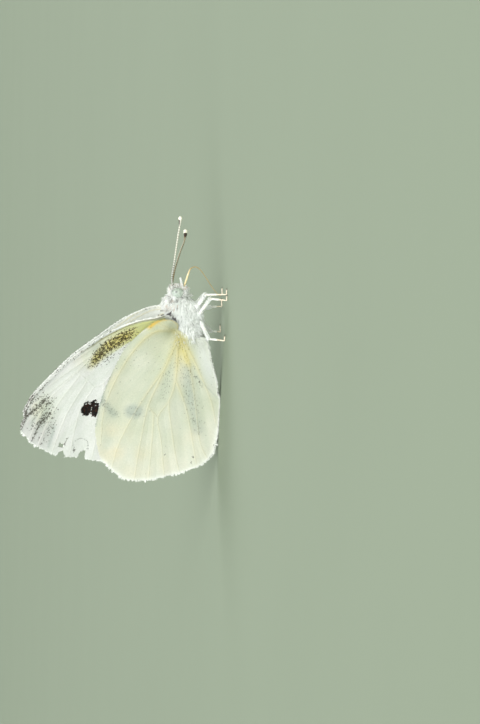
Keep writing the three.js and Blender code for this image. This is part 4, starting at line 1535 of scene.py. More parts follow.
def grow(roots, normals, flow, lengths, width, dice, **style):
    """Locks of strands that start apart and end close together, as a dictionary for make_piece. style
    may change any of LOCK_STYLE. flow, lengths, lift, dark, tan and gap may be one value for all locks."""
    style = LOCK_STYLE | style
    strands, rings = style["strands"], style["rings"]
    locks = len(roots)
    flow = np.broadcast_to(flow, roots.shape)
    lift = np.broadcast_to(style["lift"], locks)[:, None]
    owner = np.repeat(np.arange(locks), strands)
    total = len(owner)
    heading = unit(flow + lift * normals + style["wild"] * dice.normal(0, 1, (locks, 3)))
    settled = unit(heading + 0.6 * flow - 0.3 * lift * normals)
    beside = np.cross(normals, flow)[owner]
    offset = dice.normal(0, style["spread"], (total, 2))
    offset = offset[:, :1] * beside + offset[:, 1:] * flow[owner]
    start = roots[owner] - 0.04 * normals[owner] + offset
    stray = style["curl"] * dice.normal(0, 1, (total, 3))
    length = (np.broadcast_to(lengths, locks)[owner] * dice.uniform(0.75, 1.1, total))[:, None]
    bend = start + 0.5 * length * unit(heading[owner] + stray) - 0.3 * offset
    tip = bend + 0.5 * length * unit(settled[owner] + stray) - 0.5 * offset
    shares = np.linspace(0, 0.8, rings)
    wide = width * dice.uniform(0.75, 1.25, total)
    corners = []
    for share in shares:
        middle = (1 - share) ** 2 * start + 2 * share * (1 - share) * bend + share**2 * tip
        over = unit(np.cross(unit((1 - share) * (bend - start) + share * (tip - bend)), beside))
        radius = (wide * (1 - 0.75 * share**1.5) / 2)[:, None]
        for turn in (0, 2 * math.pi / 3, 4 * math.pi / 3):
            corners.append(middle + radius * (math.cos(turn) * beside + 0.5 * math.sin(turn) * over))
    points = np.stack([*corners, tip], axis=1)
    per_strand = points.shape[1]
    quads = [
        [ring * 3 + k, ring * 3 + (k + 1) % 3, ring * 3 + 3 + (k + 1) % 3, ring * 3 + 3 + k]
        for ring in range(rings - 1) for k in range(3)
    ]
    last = (rings - 1) * 3
    tips = [[last + k, last + (k + 1) % 3, per_strand - 1] for k in range(3)]
    starts = (np.arange(total) * per_strand)[:, None, None]
    faces = [(np.array(face) + starts).reshape(-1, len(face[0])) for face in (quads, tips)]
    along = np.append(np.repeat(shares, 3), 1.0)
    spin = np.append(np.tile([0.0, 0.5, 1.0], rings), 0.5)
    local = np.stack([spin - 0.5, along - 0.5], axis=1) * PATCH_SIZE
    stained = {}
    for label in ("dark", "tan"):
        chosen = dice.random(locks) < style[label]
        stained[label] = np.repeat(style["stained"] * chosen[owner], per_strand)
    # depth is 1 at a strand's root and falls to 0 at 60 % of its length; through root and gap it paints shade
    # at the roots.
    depth = np.tile((1 - along / 0.6).clip(0), total)
    return {
        "points": points.reshape(-1, 3),
        "faces": faces,
        "patches": (body_map(roots)[owner][:, None] + local).reshape(-1, 2),
        "values": {
            "root": depth,
            "shade": np.repeat(dice.random(total), per_strand),
            "lock": np.repeat(dice.random(locks)[owner], per_strand),
            **stained,
            "gap": (depth * np.repeat(np.broadcast_to(style["gap"], locks)[owner], per_strand)).clip(0, 1),
        },
    }


def gather(coats):
    points, faces = joined([(coat["points"], coat["faces"]) for coat in coats])
    labels = coats[0]["values"]
    values = {label: np.concatenate([coat["values"][label] for coat in coats]) for label in labels}
    patches = np.vstack([coat["patches"] for coat in coats])
    return {"points": points, "faces": faces, "values": values, "patches": patches}


# %% The fur's material
# root and gap darken each strand towards its root: painted shade, where the hairs shade one another and the
# skin. dark makes whole locks nearly black: some are real dark hairs, and some are painted shade in creases
# and at the wings' sockets.
FUR_STAINS = [
    ("root", (214, 220, 218), 0.5, 0.2),
    ("lock", (236, 240, 236), 0.5, 0.0),
    ("shade", (226, 232, 224), 0.4, 0.0),
    ("tan", (214, 188, 168), 0.8, 0.0),
    ("dark", (40, 37, 33), 0.92, 0.0),
    ("gap", (100, 96, 80), 0.9, 0.2),
]
# The fur glows faintly of itself: painted light, standing in for the light that white hairs pass on to each
# other.
fur_finish = make_material(
    "fur_white", 0.75, ((254, 254, 253), (248, 250, 249), 0.8, 3.0), FUR_STAINS, (14.0, 0.2),
    {"Specular IOR Level": 0.3, "Emission Color": srgb(250, 252, 250), "Emission Strength": 0.1},
)

# %% [markdown]
# ## The coat of the chest, belly and head
#
# The chest has long silky hair that flows backwards and down over the wings' roots, and the belly's is
# short and flat. The head is the shaggiest: its locks stand forwards and out round the eyes, like a ruff.
# The palps carry bristles that point forwards.

# %% The coat of the chest and belly
def near_eye(points, swelling):
    """Which points are inside either eye, swollen a little."""
    local = to_head(points)
    found = np.zeros(len(points), bool)
    for side in SIDES.values():
        reach = (local - EYE_CENTRE * (1, side, 1)) / (EYE_RADII + swelling)
        found |= np.linalg.norm(reach, axis=1) < 1
    return found


def on_head(points):
    return (to_head(points)[:, 0] > -0.62) & (points[:, 0] > 4.35)


def on_chest(points):
    return ~on_head(points) & (points[:, 0] > -0.5) & (close_to(points, WING_SOCKET, 0.3) < 0.5)


CHEST_LOCKS = 4600
BELLY_LOCKS = 4200
UNRULY_SHARE = 0.05


def chest_coat(dice):
    """Hair that flows back and down, with a ruff at the collar, short at the throat and before the wings."""
    roots, normals = sow(CHEST_LOCKS, dice, on_chest)
    x, _, z = roots.T
    downwards = np.clip((5.6 - z) / 3, -0.2, 0.7)
    flow = tangent(np.stack([-np.ones(len(x)), np.zeros(len(x)), -downwards], axis=1), normals)
    collar = ramp_up(x, 3.6, 1.2)
    behind = ramp_down(x, 1.4, 1.2)
    ruff, throat = close_to(roots, COLLAR, 0.55), close_to(roots, THROAT, 0.55)
    lengths = 0.85 - 0.1 * collar - 0.3 * collar * ramp_up(z, 6.6, 0.6) + 0.45 * behind
    lengths += dice.normal(0, 0.12, len(x))
    lengths *= 1 - 0.62 * close_to(roots, SOCKET_FRONT, 0.75)
    lengths = (lengths + 0.2 * ruff) * (1 - 0.65 * throat)
    lift = 0.26 + 0.3 * collar + 0.2 * behind + 0.5 * (dice.random(len(x)) < UNRULY_SHARE)
    lift = (lift + 0.7 * ruff) * (1 - 0.8 * throat)
    # Locks at the wing's socket, behind the eye and along the chest's seam are made dark as painted shade in
    # those creases; a few others are real dark hairs. gap paints shade at the hairs' roots, most in the
    # collar, the ruff and before the wings.
    dark = 0.006 + 0.7 * close_to(roots, WING_SOCKET, 0.4) + 0.8 * close_to(roots, BEHIND_EYE, 0.24)
    dark += 0.35 * close_to(roots, CHEST_SEAM, 0.16)
    tan = 0.3 * close_to(roots, SHOULDER, 0.6)
    gap = 0.06 + 0.4 * collar + 0.8 * close_to(roots, SOCKET_FRONT, 0.8) + 0.9 * ruff
    style = {"lift": lift, "dark": dark, "tan": tan, "gap": gap}
    return grow(roots, normals, flow, lengths, 0.1, dice, strands=4, spread=0.07, **style)


def tuft(dice, place, direction, count, length, width, reach, **style):
    """Locks that stand together at a place and at its mirror place."""
    roots, normals = sow(count, dice, lambda places: close_to(places, [place], reach) > 0.4)
    return grow(roots, normals, tangent(direction, normals), length, width, dice, **style)


dice = np.random.default_rng(31)
chest = [chest_coat(dice)]
# Near-black tufts at each wing's socket are painted shadow, in the gap where the wing's root meets the chest.
for place, direction in SOCKET_SHADOW_TUFTS:
    chest.append(tuft(dice, place, direction, 90, 0.6, 0.13, 0.2, lift=1.6, dark=1.0, stained=1.1))
chest.append(tuft(dice, TEMPLE, (-0.76, 0.0, -0.65), 16, 1.0, 0.1, 0.2, lift=0.5, wild=0.05, gap=0.0))
chest.append(tuft(dice, CHEEK, (-0.6, 0.0, -0.8), 18, 0.9, 0.1, 0.3, lift=0.6, wild=0.1, gap=0.0))
attach(make_piece("fur_chest", **gather(chest)), "body_fur", [fur_finish])

dice = np.random.default_rng(32)
roots, normals = sow(BELLY_LOCKS, dice, lambda places: places[:, 0] <= -0.5)
belly = grow(roots, normals, tangent((-1.0, 0.0, -0.15), normals), 0.42, 0.09, dice, strands=2, lift=0.2)
attach(make_piece("fur_belly", **belly), "body_fur", [fur_finish])

# %% The coat of the head
HEAD_COATS = [  # locks, how much longer, lift, width and strands: a close coat, and long locks out of it
    (1050, 0.0, 0.7, 0.09, 5), (260, 0.42, 1.2, 0.12, 6),
]
EYE_RIM_LOCKS = 320
PALP_LOCKS = 420
PALP_START = 0.85
TONGUE_BASE = [[0.55, 0, -0.7], [2.3, 0.02, -1.26]]


def on_palps(points):
    local = to_head(points)
    return (local[:, 0] > PALP_START) & (local[:, 2] < 0.15)


def head_flow(roots, normals):
    """Forwards and away from the middle of the head."""
    ahead = unit(to_head(roots) * (0.9, 1.0, 1.0)) + (0.75, 0, 0.12)
    return tangent(unit(ahead) @ HEAD_AXES, normals)


def bare_head(points):
    return on_head(points) & ~near_eye(points, -0.05) & ~on_palps(points)


def eye_rim(points):
    """A belt round each eye, without its back."""
    gap = (to_head(points) * (1, 0, 1) - EYE_CENTRE * (1, 0, 1)) / EYE_RADII
    reach = np.hypot(gap[:, 0], gap[:, 2])
    return bare_head(points) & (reach < 1.3) & (gap[:, 0] > -0.75)


def over_eye(roots, normals):
    """Across the eye's edge towards its middle."""
    local = to_head(roots)
    middle = np.where(local[:, 1:2] < 0, (1, -1, 1), (1, 1, 1)) * (EYE_CENTRE + (0, 0.1, 0))
    return tangent(unit(middle - local) @ HEAD_AXES, normals)


def head_coat():
    dice = np.random.default_rng(33)
    coats = []
    tongue_line = from_head(TONGUE_BASE)
    for count, longer, lift, width, strands in HEAD_COATS:
        roots, normals = sow(count, dice, bare_head)
        x, _, z = to_head(roots).T
        crown, ahead = ramp_up(z, -0.1, 0.9), ramp_up(x, 0.2, 0.4)
        lengths = 0.42 + longer * (1 - 0.35 * crown - 0.6 * ahead) + 0.15 * smooth_step(-z)
        lengths = (lengths + dice.normal(0, 0.1, count)) * (1 - 0.25 * ahead)
        lengths *= 1 - 0.75 * fade(distance_to(roots, tongue_line), 0.5)
        # Locks behind the eye and in the crown's gap are made dark as painted shade. gap paints shade at the
        # roots of the head's hair, here, round the eyes and on the palps.
        dark = 0.02 + 0.9 * close_to(roots, BEHIND_EYE, 0.3) + 0.25 * close_to(roots, CROWN_GAP, 0.3)
        tan = 0.25 * ramp_up(x, -0.1, 0.5) + 0.5 * close_to(roots, CROWN_GAP, 0.35)
        coats.append(grow(
            roots, normals, head_flow(roots, normals), lengths.clip(0.12), width, dice,
            strands=strands, rings=3, lift=lift, wild=0.2, curl=0.06, dark=dark, tan=tan, gap=1.5,
        ))
    roots, normals = sow(EYE_RIM_LOCKS, dice, eye_rim)
    steep = np.abs(to_head(roots)[:, 2] - EYE_CENTRE[2])
    coats.append(grow(
        roots, normals, over_eye(roots, normals), 0.33 + 0.3 * smooth_step(steep / 0.7), 0.08, dice,
        rings=3, lift=0.9, wild=0.15, spread=0.04, dark=0.05, tan=0.15, gap=0.8,
    ))
    return coats


def palp_coat():
    dice = np.random.default_rng(34)
    roots, normals = sow(PALP_LOCKS, dice, on_palps)
    flow = tangent(np.array([1.0, 0.0, 0.35]) @ HEAD_AXES, normals)
    return grow(roots, normals, flow, 0.28, 0.055, dice, rings=3, spread=0.04, gap=0.5)


attach(make_piece("fur_head", **gather([*head_coat(), palp_coat()])), "body_fur", [fur_finish])

# %% [markdown]
# ## Hairs on the wings' roots
#
# No hard edge shows where a wing meets the body, because the scales near the root grow into long white
# hairs. They are rooted on the hindwing's outer face, thickest at its root edge, and follow the relief.

# %% Hairs on the wings' roots
ROOT_HAIR_REACH = 1.5
ROOT_HAIR_LOCKS = 1300
ROOT_HAIR_LENGTHS = (0.3, 0.6)
down_finish = make_material(
    "down_pale", 0.8, ((230, 233, 226), (222, 226, 216), 0.8, 3.0), FUR_STAINS, (14.0, 0.2),
    {"Specular IOR Level": 0.2},
)


def root_hairs(wing, count, seed):
    """Locks on the outer face of a left wing near its root edge."""
    dice = np.random.default_rng(seed)
    edge = smooth_line(wing["edges"]["root"], 0.05)
    inland = wing["hub"] + (1.0, 0.0)
    flat = edge[dice.integers(0, len(edge), count)]
    flat = flat + unit(flat - inland) * (ROOT_HAIR_REACH * dice.random((count, 1)) ** 2.2 - 0.02)
    flat = flat[inside(flat, wing_outline(wing["edges"]))]
    flow, normals = lie_on(wing["board"], "outer", flat, unit(flat - inland))
    roots = stand_up(flat, look_up(wing["board"], "outer", flat))
    lengths = dice.uniform(*ROOT_HAIR_LENGTHS, len(flat))
    return grow(roots, normals, flow, lengths, 0.045, dice, lift=0.04, wild=0.1, dark=0.02, gap=0.0)


for side_name, side in SIDES.items():
    hairs = on_side(root_hairs(WINGS["hind"], ROOT_HAIR_LOCKS, 36), side)
    attach(make_piece(f"hairs_hind_{side_name}", **hairs), "hindwing", [down_finish])

# %% [markdown]
# ## Eyes
#
# Each eye is a dome of thousands of tiny lenses. In a ball of triangles nearly every point has six
# neighbours. Cutting each edge in two and lifting only the old points gives each of them a small dome with
# a six-sided rim: one lens. A pale eye shows dark spots where one looks straight down its lenses. They are
# fixed here as one large spot with a ring of faint ones.

# %% Eyes
LENS_RISE = 0.012
EYE_FIT = 0.985  # of its radii, which leaves room for the lenses
EYE_SPOT_AIM = (0.2, 0.93, 0.3)
EYE_SPOT_SIZE = 0.22
EYE_RING_TURN = 0.62
EYE_RING_COUNT = 6
EYE_RING_SHARE = 0.22  # of the large spot's darkness


def lens_ball():
    """Directions from the middle of a ball, its triangles, and which points are lens tops."""
    ball = bmesh.new()
    bmesh.ops.create_icosphere(ball, subdivisions=5, radius=1)
    tops = len(ball.verts)
    bmesh.ops.subdivide_edges(ball, edges=ball.edges[:], cuts=1, use_grid_fill=True)
    ball.verts.ensure_lookup_table()
    directions = unit(np.array([vert.co[:] for vert in ball.verts]))
    triangles = np.array([[vert.index for vert in face.verts] for face in ball.faces])
    ball.free()
    is_top = np.arange(len(directions)) < tops
    return directions, triangles, is_top


def spot_fade(directions, middle):
    return fade(np.arccos((directions @ middle).clip(-1, 1)), EYE_SPOT_SIZE)


def eye_spots(directions, side):
    aim = unit(np.array(EYE_SPOT_AIM) * (1, side, 1))
    across = unit(np.cross(aim, (0, 0, 1)))
    over = np.cross(aim, across)
    dark = spot_fade(directions, aim)
    for turn in even_turns(EYE_RING_COUNT):
        around = math.cos(turn) * across + math.sin(turn) * over
        spot = math.cos(EYE_RING_TURN) * aim + math.sin(EYE_RING_TURN) * around
        dark = np.maximum(dark, EYE_RING_SHARE * spot_fade(directions, spot))
    return dark


eye_finish = make_material(
    "eye_pale_green", 0.35, ((206, 214, 206), (160, 174, 162), 5.0, 3.5),
    [("rim", (150, 160, 140), 0.15, 0.2), ("spot", (48, 60, 58), 1.0, 0.3)],
    (30.0, 0.1), {"Coat Weight": 0.4, "Coat Roughness": 0.15},
)
ball_directions, ball_triangles, ball_tops = lens_ball()
for side_name, side in SIDES.items():
    lifted = ball_directions * EYE_RADII * EYE_FIT + ball_directions * (LENS_RISE * ball_tops)[:, None]
    eye_values = {
        "spot": eye_spots(ball_directions, side),
        "rim": ramp_down(ball_directions[:, 1] * side, 0.45, 0.5),
    }
    eye_points = from_head(lifted + EYE_CENTRE * (1, side, 1))
    eye = make_piece(f"eye_dome_{side_name}", eye_points, [ball_triangles], eye_values)
    attach(eye, "eye", [eye_finish], f"eye_{side_name}")

# %% [markdown]
# ## Feelers
#
# A feeler is a whip of about thirty short joints that ends in a flattened club. White scales lie on its
# outer side in bands, one to each joint, and the inner side is bare and brown. The joints are a gentle
# ripple in the radius of a tube, and each point knows how far along and on which side it is, which is all
# that the material needs.

# %% Feelers
FEELERS = {
    "right": [
        [0.8, -0.35, 0.7], [1.2, -0.65, 0.82], [2.05, -1.32, 0.88], [3.7, -2.42, 0.74],
        [6.7, -4.05, 0.5], [8.7, -5.02, 0.3], [9.75, -5.6, 0.3],
    ],
    "left": [
        [0.8, 0.35, 0.7], [1.2, 0.65, 0.66], [2.7, 2.15, 0.27],
        [4.7, 4.75, -0.55], [5.9, 6.4, -1.15], [7.17, 7.55, -1.36],
    ],
}
FEELER_RADIUS = 0.105
CLUB_RADII = {"right": 0.24, "left": 0.28}
CLUB_LENGTH = 1.7
TIP_LENGTHS = {"right": 0.46, "left": 0.64}
JOINT_LENGTH = 0.36
JOINT_RIPPLE = 0.07
FEELER_SIDES = 16
FEELER_FLATNESS = 0.85

feeler_finish = make_material(
    "feeler_scales", 0.55, ((240, 238, 228), (226, 222, 204), 3.0, 2.0),
    [
        ("grey_white", (222, 224, 218), 0.9, 0.2),
        ("band", (74, 66, 52), 0.95, 0.2),
        ("bare", (128, 108, 66), 0.9, 0.15),
        ("club", (46, 26, 18), 0.95, 0.1),
        ("pale_tip", (253, 248, 232), 1.0, 0.0),
    ],
    (16.0, 0.4),
)


def build_feeler(side_name, side):
    path = smooth_line(from_head(FEELERS[side_name]), 0.05)
    reached = np.concatenate([[0], np.cumsum(np.linalg.norm(np.diff(path, axis=0), axis=1))])
    to_tip = reached[-1] - reached
    wave = np.sin(2 * math.pi * reached / JOINT_LENGTH)
    club = smooth_step(1 - to_tip / CLUB_LENGTH)
    radii = FEELER_RADIUS + (CLUB_RADII[side_name] - FEELER_RADIUS) * club
    radii = radii * np.sqrt(1 - (1 - np.clip(to_tip / 0.24, 0.04, 1)) ** 2) * (1 + JOINT_RIPPLE * wave)
    points, faces = tube(path, radii, FEELER_SIDES, FEELER_FLATNESS)
    ring = np.append(np.repeat(np.arange(len(path)), FEELER_SIDES), [0, len(path) - 1])
    local = (points - path[ring]) / radii[ring][:, None]
    reached, to_tip, wave = reached[ring], to_tip[ring], wave[ring]
    outward = 0.8 * local[:, 1] * side - 0.6 * local[:, 2] * (0.2 + 0.8 * smooth_step(1 - to_tip / 3))
    off_club = (1 - smooth_step(1.5 - to_tip)) * (1 - 0.45 * ramp_up(reached, 3.0, 2.0))
    values = {
        "grey_white": 1 - ramp_up(reached, 2.5, 2.5),
        "band": ramp_up(wave, -0.15, 0.6) * off_club,
        "bare": ramp_down(outward, 0.1, 0.5),
        "club": ramp_down(to_tip, CLUB_LENGTH * 0.85, 0.4) * ramp_down(outward, 0.8, 0.5),
        "pale_tip": ramp_down(to_tip, TIP_LENGTHS[side_name], 0.12),
    }
    return make_piece(f"feeler_{side_name}", points, faces, values)


for side_name, side in SIDES.items():
    attach(build_feeler(side_name, side), "antenna", [feeler_finish], f"antenna_{side_name}")

# %% [markdown]
# ## Tongue
#
# The tongue is a drinking straw made of two grooved halves that lock together, thick and cream where it
# leaves the head, thin and amber beyond the bend. Two tubes side by side show the seam between the halves,
# which one round tube would lose.

# %% Tongue
TONGUE = [
    [0.55, 0, -0.7], [1.5, 0, -1.02], [2.3, 0.02, -1.26], [2.84, 0.06, -1.52], [3.08, 0.12, -1.95],
    [2.96, 0.18, -2.45], [2.3, 0.3, -3.1], [0.6, 0.62, -4.25], [-0.25, 0.78, -4.95], [-0.6, 0.85, -5.35],
]
TONGUE_RADII = ([0.0, 0.22, 0.34, 0.5, 1.0], [0.115, 0.095, 0.055, 0.04, 0.034])
TONGUE_SIDES = 10
HALF_OFFSET = 0.72  # of a half's radius
RING_WAVE = 380  # turns the share along the tongue into its fine rings

tongue_finish = make_material(
    "tongue_amber", 0.35, ((196, 170, 116), (170, 146, 98), 2.0, 2.0),
    [("cream", (248, 230, 182), 0.95, 0.1), ("ring", (120, 92, 56), 0.3, 0.3)],
    (18.0, 0.3),
)
path = smooth_line(from_head(TONGUE), 0.06)
share = np.linspace(0, 1, len(path))
radii = np.interp(share, *TONGUE_RADII)
along, across, over = frames_along(path)
halves = [tube(path + over * (HALF_OFFSET * radii * lane)[:, None], radii, TONGUE_SIDES) for lane in (-1, 1)]
of_half = np.append(np.repeat(share, TONGUE_SIDES), [0, 1])
values = {
    "cream": np.tile(1 - ramp_up(of_half, 0.2, 0.14), 2),
    "ring": np.tile(smooth_step(np.sin(of_half * RING_WAVE)), 2),
}
attach(make_piece("tongue", *joined(halves), values), "proboscis", [tongue_finish], "proboscis")

# %% [markdown]
# ## Legs
#
# Each leg has a furry thigh, a slim shin and a foot of five short joints with two claws. The knees and feet
# stay where the solids have them, but the limbs get their real thinness: the thigh bulges, the shin widens
# at its ends, and narrow waists cut the foot into joints. Spines sit in pairs along the shin and foot.

# %% The legs' points
ANKLE_SHARE = 0.5
TOE_LENGTH = 0.78
SOLE_HEIGHT = 0.1
THIGH_RADIUS = 0.19
SHIN_RADIUS = 0.12
FOOT_RADIUS = 0.09
FOOT_JOINTS = 5
LIMB_RINGS = 14


def leg_points(name):
    hip, knee, heel = (np.array(place) for place in LEGS[name])
    heel = np.append(heel, SOLE_HEIGHT)
    outwards = unit((heel - knee) * (1, 1, 0))
    toe = heel + TOE_LENGTH * unit(0.5 * outwards + (1, 0, 0))
    return hip, knee, knee + ANKLE_SHARE * (heel - knee), heel, toe


def straight(start, end, count):
    return start + np.linspace(0, 1, count)[:, None] * (end - start)


def thigh_part(hip, knee):
    share = np.linspace(0, 1, LIMB_RINGS)
    radii = THIGH_RADIUS * (0.72 + 0.32 * np.sin(math.pi * share**0.8)) * (1 - 0.3 * share**4)
    return tube(straight(hip, knee, LIMB_RINGS), radii, 14)


def shin_part(knee, ankle):
    share = np.linspace(0, 1, LIMB_RINGS)
    radii = SHIN_RADIUS * (0.9 + 0.25 * fade(share, 0.15) + 0.2 * share**3)
    return tube(straight(knee, ankle, LIMB_RINGS), radii)


def foot_part(ankle, heel, toe):
    path = smooth_line([ankle, ankle + 0.6 * (heel - ankle), heel, heel + 0.5 * (toe - heel), toe], 0.04)
    share = np.linspace(0, 1, len(path))
    place = (share * FOOT_JOINTS) % 1
    waist = 1 - 0.32 * fade(np.minimum(place, 1 - place), 0.1)
    return tube(path, FOOT_RADIUS * (1.0 - 0.15 * share) * waist)


def claw_parts(heel, toe):
    """Two small hooks at the toe's end that curve down to the floor."""
    ahead = unit(toe - heel)
    beside = np.cross(ahead, (0, 0, 1))
    hooks = []
    for lane in (-1, 1):
        tip = toe + 0.2 * ahead + 0.11 * lane * beside - (0, 0, SOLE_HEIGHT - 0.015)
        over = toe + 0.13 * ahead + 0.09 * lane * beside + (0, 0, 0.04)
        path = smooth_line([toe, over, tip], 0.02)
        hooks.append(tube(path, np.linspace(0.035, 0.008, len(path)), 8))
    return hooks


def spine_parts(start, end, count, length, sideways):
    ahead = unit(end - start)
    spines = []
    for place in np.linspace(0.15, 0.92, count):
        for lane in (-1, 1):
            root = start + place * (end - start)
            tip = root + length * unit(0.8 * ahead + lane * sideways)
            tip[2] = max(tip[2], 0.01)
            spines.append(tube(straight(root, tip, 3), [0.02, 0.014, 0.004], 5))
    return spines


# %% Building the legs
leg_finish = make_material(
    "leg_cream", 0.6, ((253, 251, 244), (247, 241, 228), 2.5, 2.5),
    [
        ("foot", (243, 226, 200), 0.7, 0.4),
        ("joint", (128, 96, 66), 0.55, 0.3),
        ("claw", (58, 40, 28), 0.95, 0.0),
    ],
    (14.0, 0.4),
)


def build_leg(name):
    hip, knee, ankle, heel, toe = leg_points(name)
    sideways = unit(np.cross(ankle - knee, (1.0, 0.0, 0.0))) * np.sign(hip[1])
    upper = [thigh_part(hip, knee), shin_part(knee, ankle)]
    spines = spine_parts(knee, ankle, 5, 0.2, sideways) + spine_parts(ankle, heel, 6, 0.13, sideways)
    claws = claw_parts(heel, toe)
    points, faces = joined([*upper, foot_part(ankle, heel, toe), *spines, *claws])
    number = np.arange(len(points))
    is_foot = 1.0 * (number >= sum(len(part[0]) for part in upper))
    is_claw = 1.0 * (number >= len(points) - sum(len(claw[0]) for claw in claws))
    foot_share = np.linalg.norm(points - ankle, axis=1) / np.linalg.norm(heel - ankle)
    foot_rings = is_foot * ramp_down(np.abs(np.sin(math.pi * foot_share * 2.2)), 0.25, 0.25)
    knee_ring = fade(np.linalg.norm(points - knee, axis=1), 0.16)
    values = {"foot": is_foot, "joint": np.maximum(knee_ring, foot_rings), "claw": is_claw}
    points[:, 2] = points[:, 2].clip(0)
    return make_piece(f"leg_limb_{name}", points, faces, values)


for name in LEGS:
    attach(build_leg(name), "leg", [leg_finish], f"leg_{name}")


# %% Fur and scales of the legs
LIMB_COATS = {  # locks, radius of the limb, then length, width and style of the locks
    "thigh": (420, THIGH_RADIUS, 0.34, 0.075, {"lift": 0.4, "spread": 0.03}),
    "shin": (260, SHIN_RADIUS, 0.2, 0.05, {"lift": 0.3, "spread": 0.02}),
}


def limb_coat(start, end, coat, dice):
    count, radius, length, width, style = LIMB_COATS[coat]
    ahead = unit(end - start)
    across = unit(np.cross(ahead, (0.0, 0.0, 1.0)))
    over = np.cross(ahead, across)
    share, turn = dice.random(count)[:, None], dice.random(count)[:, None] * 2 * math.pi
    normals = np.cos(turn) * across + np.sin(turn) * over
    roots = start + share * (end - start) + radius * normals
    return grow(roots, normals, ahead, length, width, dice, strands=2, **style)


leg_coats = []
for number, name in enumerate(LEGS):
    dice = np.random.default_rng(40 + number)
    hip, knee, ankle, heel, toe = leg_points(name)
    leg_coats += [limb_coat(hip, knee, "thigh", dice), limb_coat(knee, ankle, "shin", dice)]
attach(make_piece("fur_legs", **gather(leg_coats)), "leg", [fur_finish])

# %% [markdown]
# ## Studio floor
#
# The butterfly stands on a matt sheet that is bent up into a wall far behind it, so that no horizon shows.
# The sheet is pale sage: white wings would drown on white paper, and a dark sheet would rob their edges of
# soft light from below.

# %% Studio floor
FLOOR_RADIUS = 3600
COVE_RADIUS = 900
WALL_HEIGHT = 2500
FLOOR_SIDES = 96
COVE_STEPS = 16


def studio_cove():
    profile = [(60.0, 0.0), (400.0, 0.0), (FLOOR_RADIUS, 0.0)]
    for turn in np.linspace(0, math.pi / 2, COVE_STEPS + 1)[1:]:
        profile.append((FLOOR_RADIUS + COVE_RADIUS * math.sin(turn), COVE_RADIUS * (1 - math.cos(turn))))
    profile.append((FLOOR_RADIUS + COVE_RADIUS, WALL_HEIGHT))
    turns = even_turns(FLOOR_SIDES)
    rings = [
        np.stack([reach * np.cos(turns), reach * np.sin(turns), np.full(FLOOR_SIDES, height)], axis=1)
        for reach, height in profile
    ]
    here = np.arange(FLOOR_SIDES) + 1
    beside = np.roll(here, -1)
    middle = np.stack([np.zeros(FLOOR_SIDES, int), here, beside], axis=1)
    belt = np.stack([here, here + FLOOR_SIDES, beside + FLOOR_SIDES, beside], axis=1)
    belts = [belt + FLOOR_SIDES * number for number in range(len(profile) - 1)]
    return np.vstack([np.zeros((1, 3)), *rings]), [middle, np.vstack(belts)]


floor_points, floor_faces = studio_cove()
studio_floor = make_piece("studio_floor", floor_points, floor_faces)
floor_finish = make_material(
    "floor_sage", 0.85, ((136, 148, 128), (133, 145, 125), 0.02, 1.0), [], (0.4, 0.05)
)
studio_floor.data.materials.append(floor_finish)

# %% [markdown]
# ## Lights
#
# One large soft light in front and above shows the relief of veins and scales without hard shadows. A
# weaker one fills the shade, one from behind draws the edges of the fur, and the pale air does the rest.
# Lamps of this size stand metres away, so their light reaches all of such a small thing alike.

# %% Lights
AIM_HEIGHT = 0.012  # metres, the middle of the butterfly


def area_light(name, direction, distance, size, power, colour):
    """A square soft light that looks at the butterfly."""
    light = bpy.data.lights.new(name, "AREA")
    light.energy = power
    light.size = size
    light.color = colour
    lamp = bpy.data.objects.new(name, light)
    away = Vector(direction).normalized()
    lamp.location = away * distance + Vector((0, 0, AIM_HEIGHT))
    lamp.rotation_mode = "QUATERNION"
    lamp.rotation_quaternion = away.to_track_quat("Z", "Y")
    bpy.context.scene.collection.objects.link(lamp)


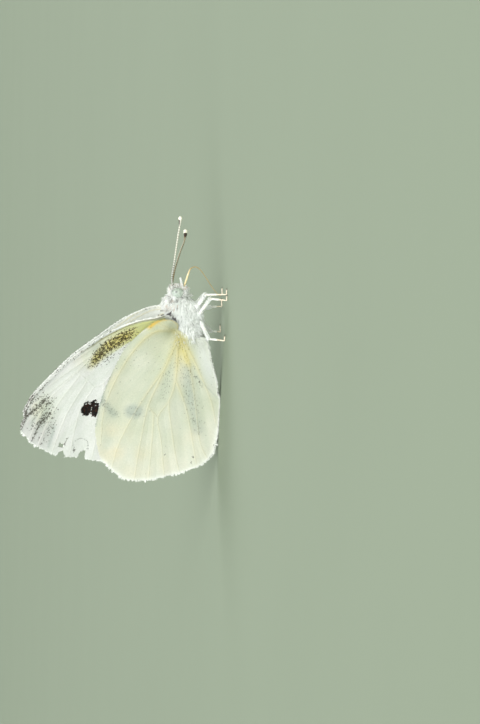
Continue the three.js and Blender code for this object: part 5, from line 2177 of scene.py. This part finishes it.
area_light("key", (0.42, -0.78, 0.46), 3.5, 2.4, 124.0, (1.0, 0.99, 0.965))
area_light("fill", (-0.5, -0.85, 0.35), 3.0, 2.2, 38.0, (0.96, 0.98, 1.0))
area_light("rim", (0.1, 0.8, 0.75), 3.0, 2.0, 40.0, (1.0, 1.0, 1.0))

world = bpy.data.worlds.new("studio_air")
bpy.context.scene.world = world
world.use_nodes = True
air = world.node_tree.nodes["Background"].inputs
air["Color"].default_value = srgb(228, 231, 228)
air["Strength"].default_value = 0.9
bpy.context.scene.view_settings.view_transform = "Standard"

# %% [markdown]
# ## Camera
#
# The butterfly is seen from its right side, from a little ahead and a little above, with its head at the
# top of the picture, so the camera lies on its side. A long lens from half a metre keeps the near and far
# wings almost the same size.

# %% Camera
AZIMUTH = math.radians(24)
ELEVATION = math.radians(5)
ROLL = math.radians(0.7)
CAMERA_DISTANCE = 500.0
VIEW_HEIGHT = 90.5  # millimetres across the long side of the picture, at the butterfly
SENSOR = 36.0
WING_PLANE = -3.2  # the depth at which the picture is measured
PICTURE_SHIFT = (2.602, 1.907)  # the butterfly's place in the picture, along it and across it

forward = Vector((math.cos(AZIMUTH), math.sin(AZIMUTH), 0))
level = Vector((math.sin(AZIMUTH), -math.cos(AZIMUTH), 0))
back = math.cos(ELEVATION) * level + math.sin(ELEVATION) * Vector((0, 0, 1))
upright = back.cross(forward)
right = math.sin(ROLL) * forward - math.cos(ROLL) * upright
above = math.cos(ROLL) * forward + math.sin(ROLL) * upright
target = Vector((0, WING_PLANE, 0)) - PICTURE_SHIFT[0] * forward - PICTURE_SHIFT[1] * upright
place = target + CAMERA_DISTANCE * back

camera_data = bpy.data.cameras.new("camera")
camera_data.sensor_width = SENSOR
camera_data.lens = SENSOR * CAMERA_DISTANCE / VIEW_HEIGHT
camera_data.clip_start = 0.01
camera_data.clip_end = 20
camera = bpy.data.objects.new("camera", camera_data)
turn = Matrix((right, above, back)).transposed()
camera.rotation_mode = "QUATERNION"
camera.rotation_quaternion = turn.to_quaternion()
camera.location = (Vector(SHIFT.tolist()) + place) * MM
bpy.context.scene.collection.objects.link(camera)
bpy.context.scene.camera = camera
print("camera at", [round(value, 4) for value in camera.location], "lens", round(camera_data.lens, 1))
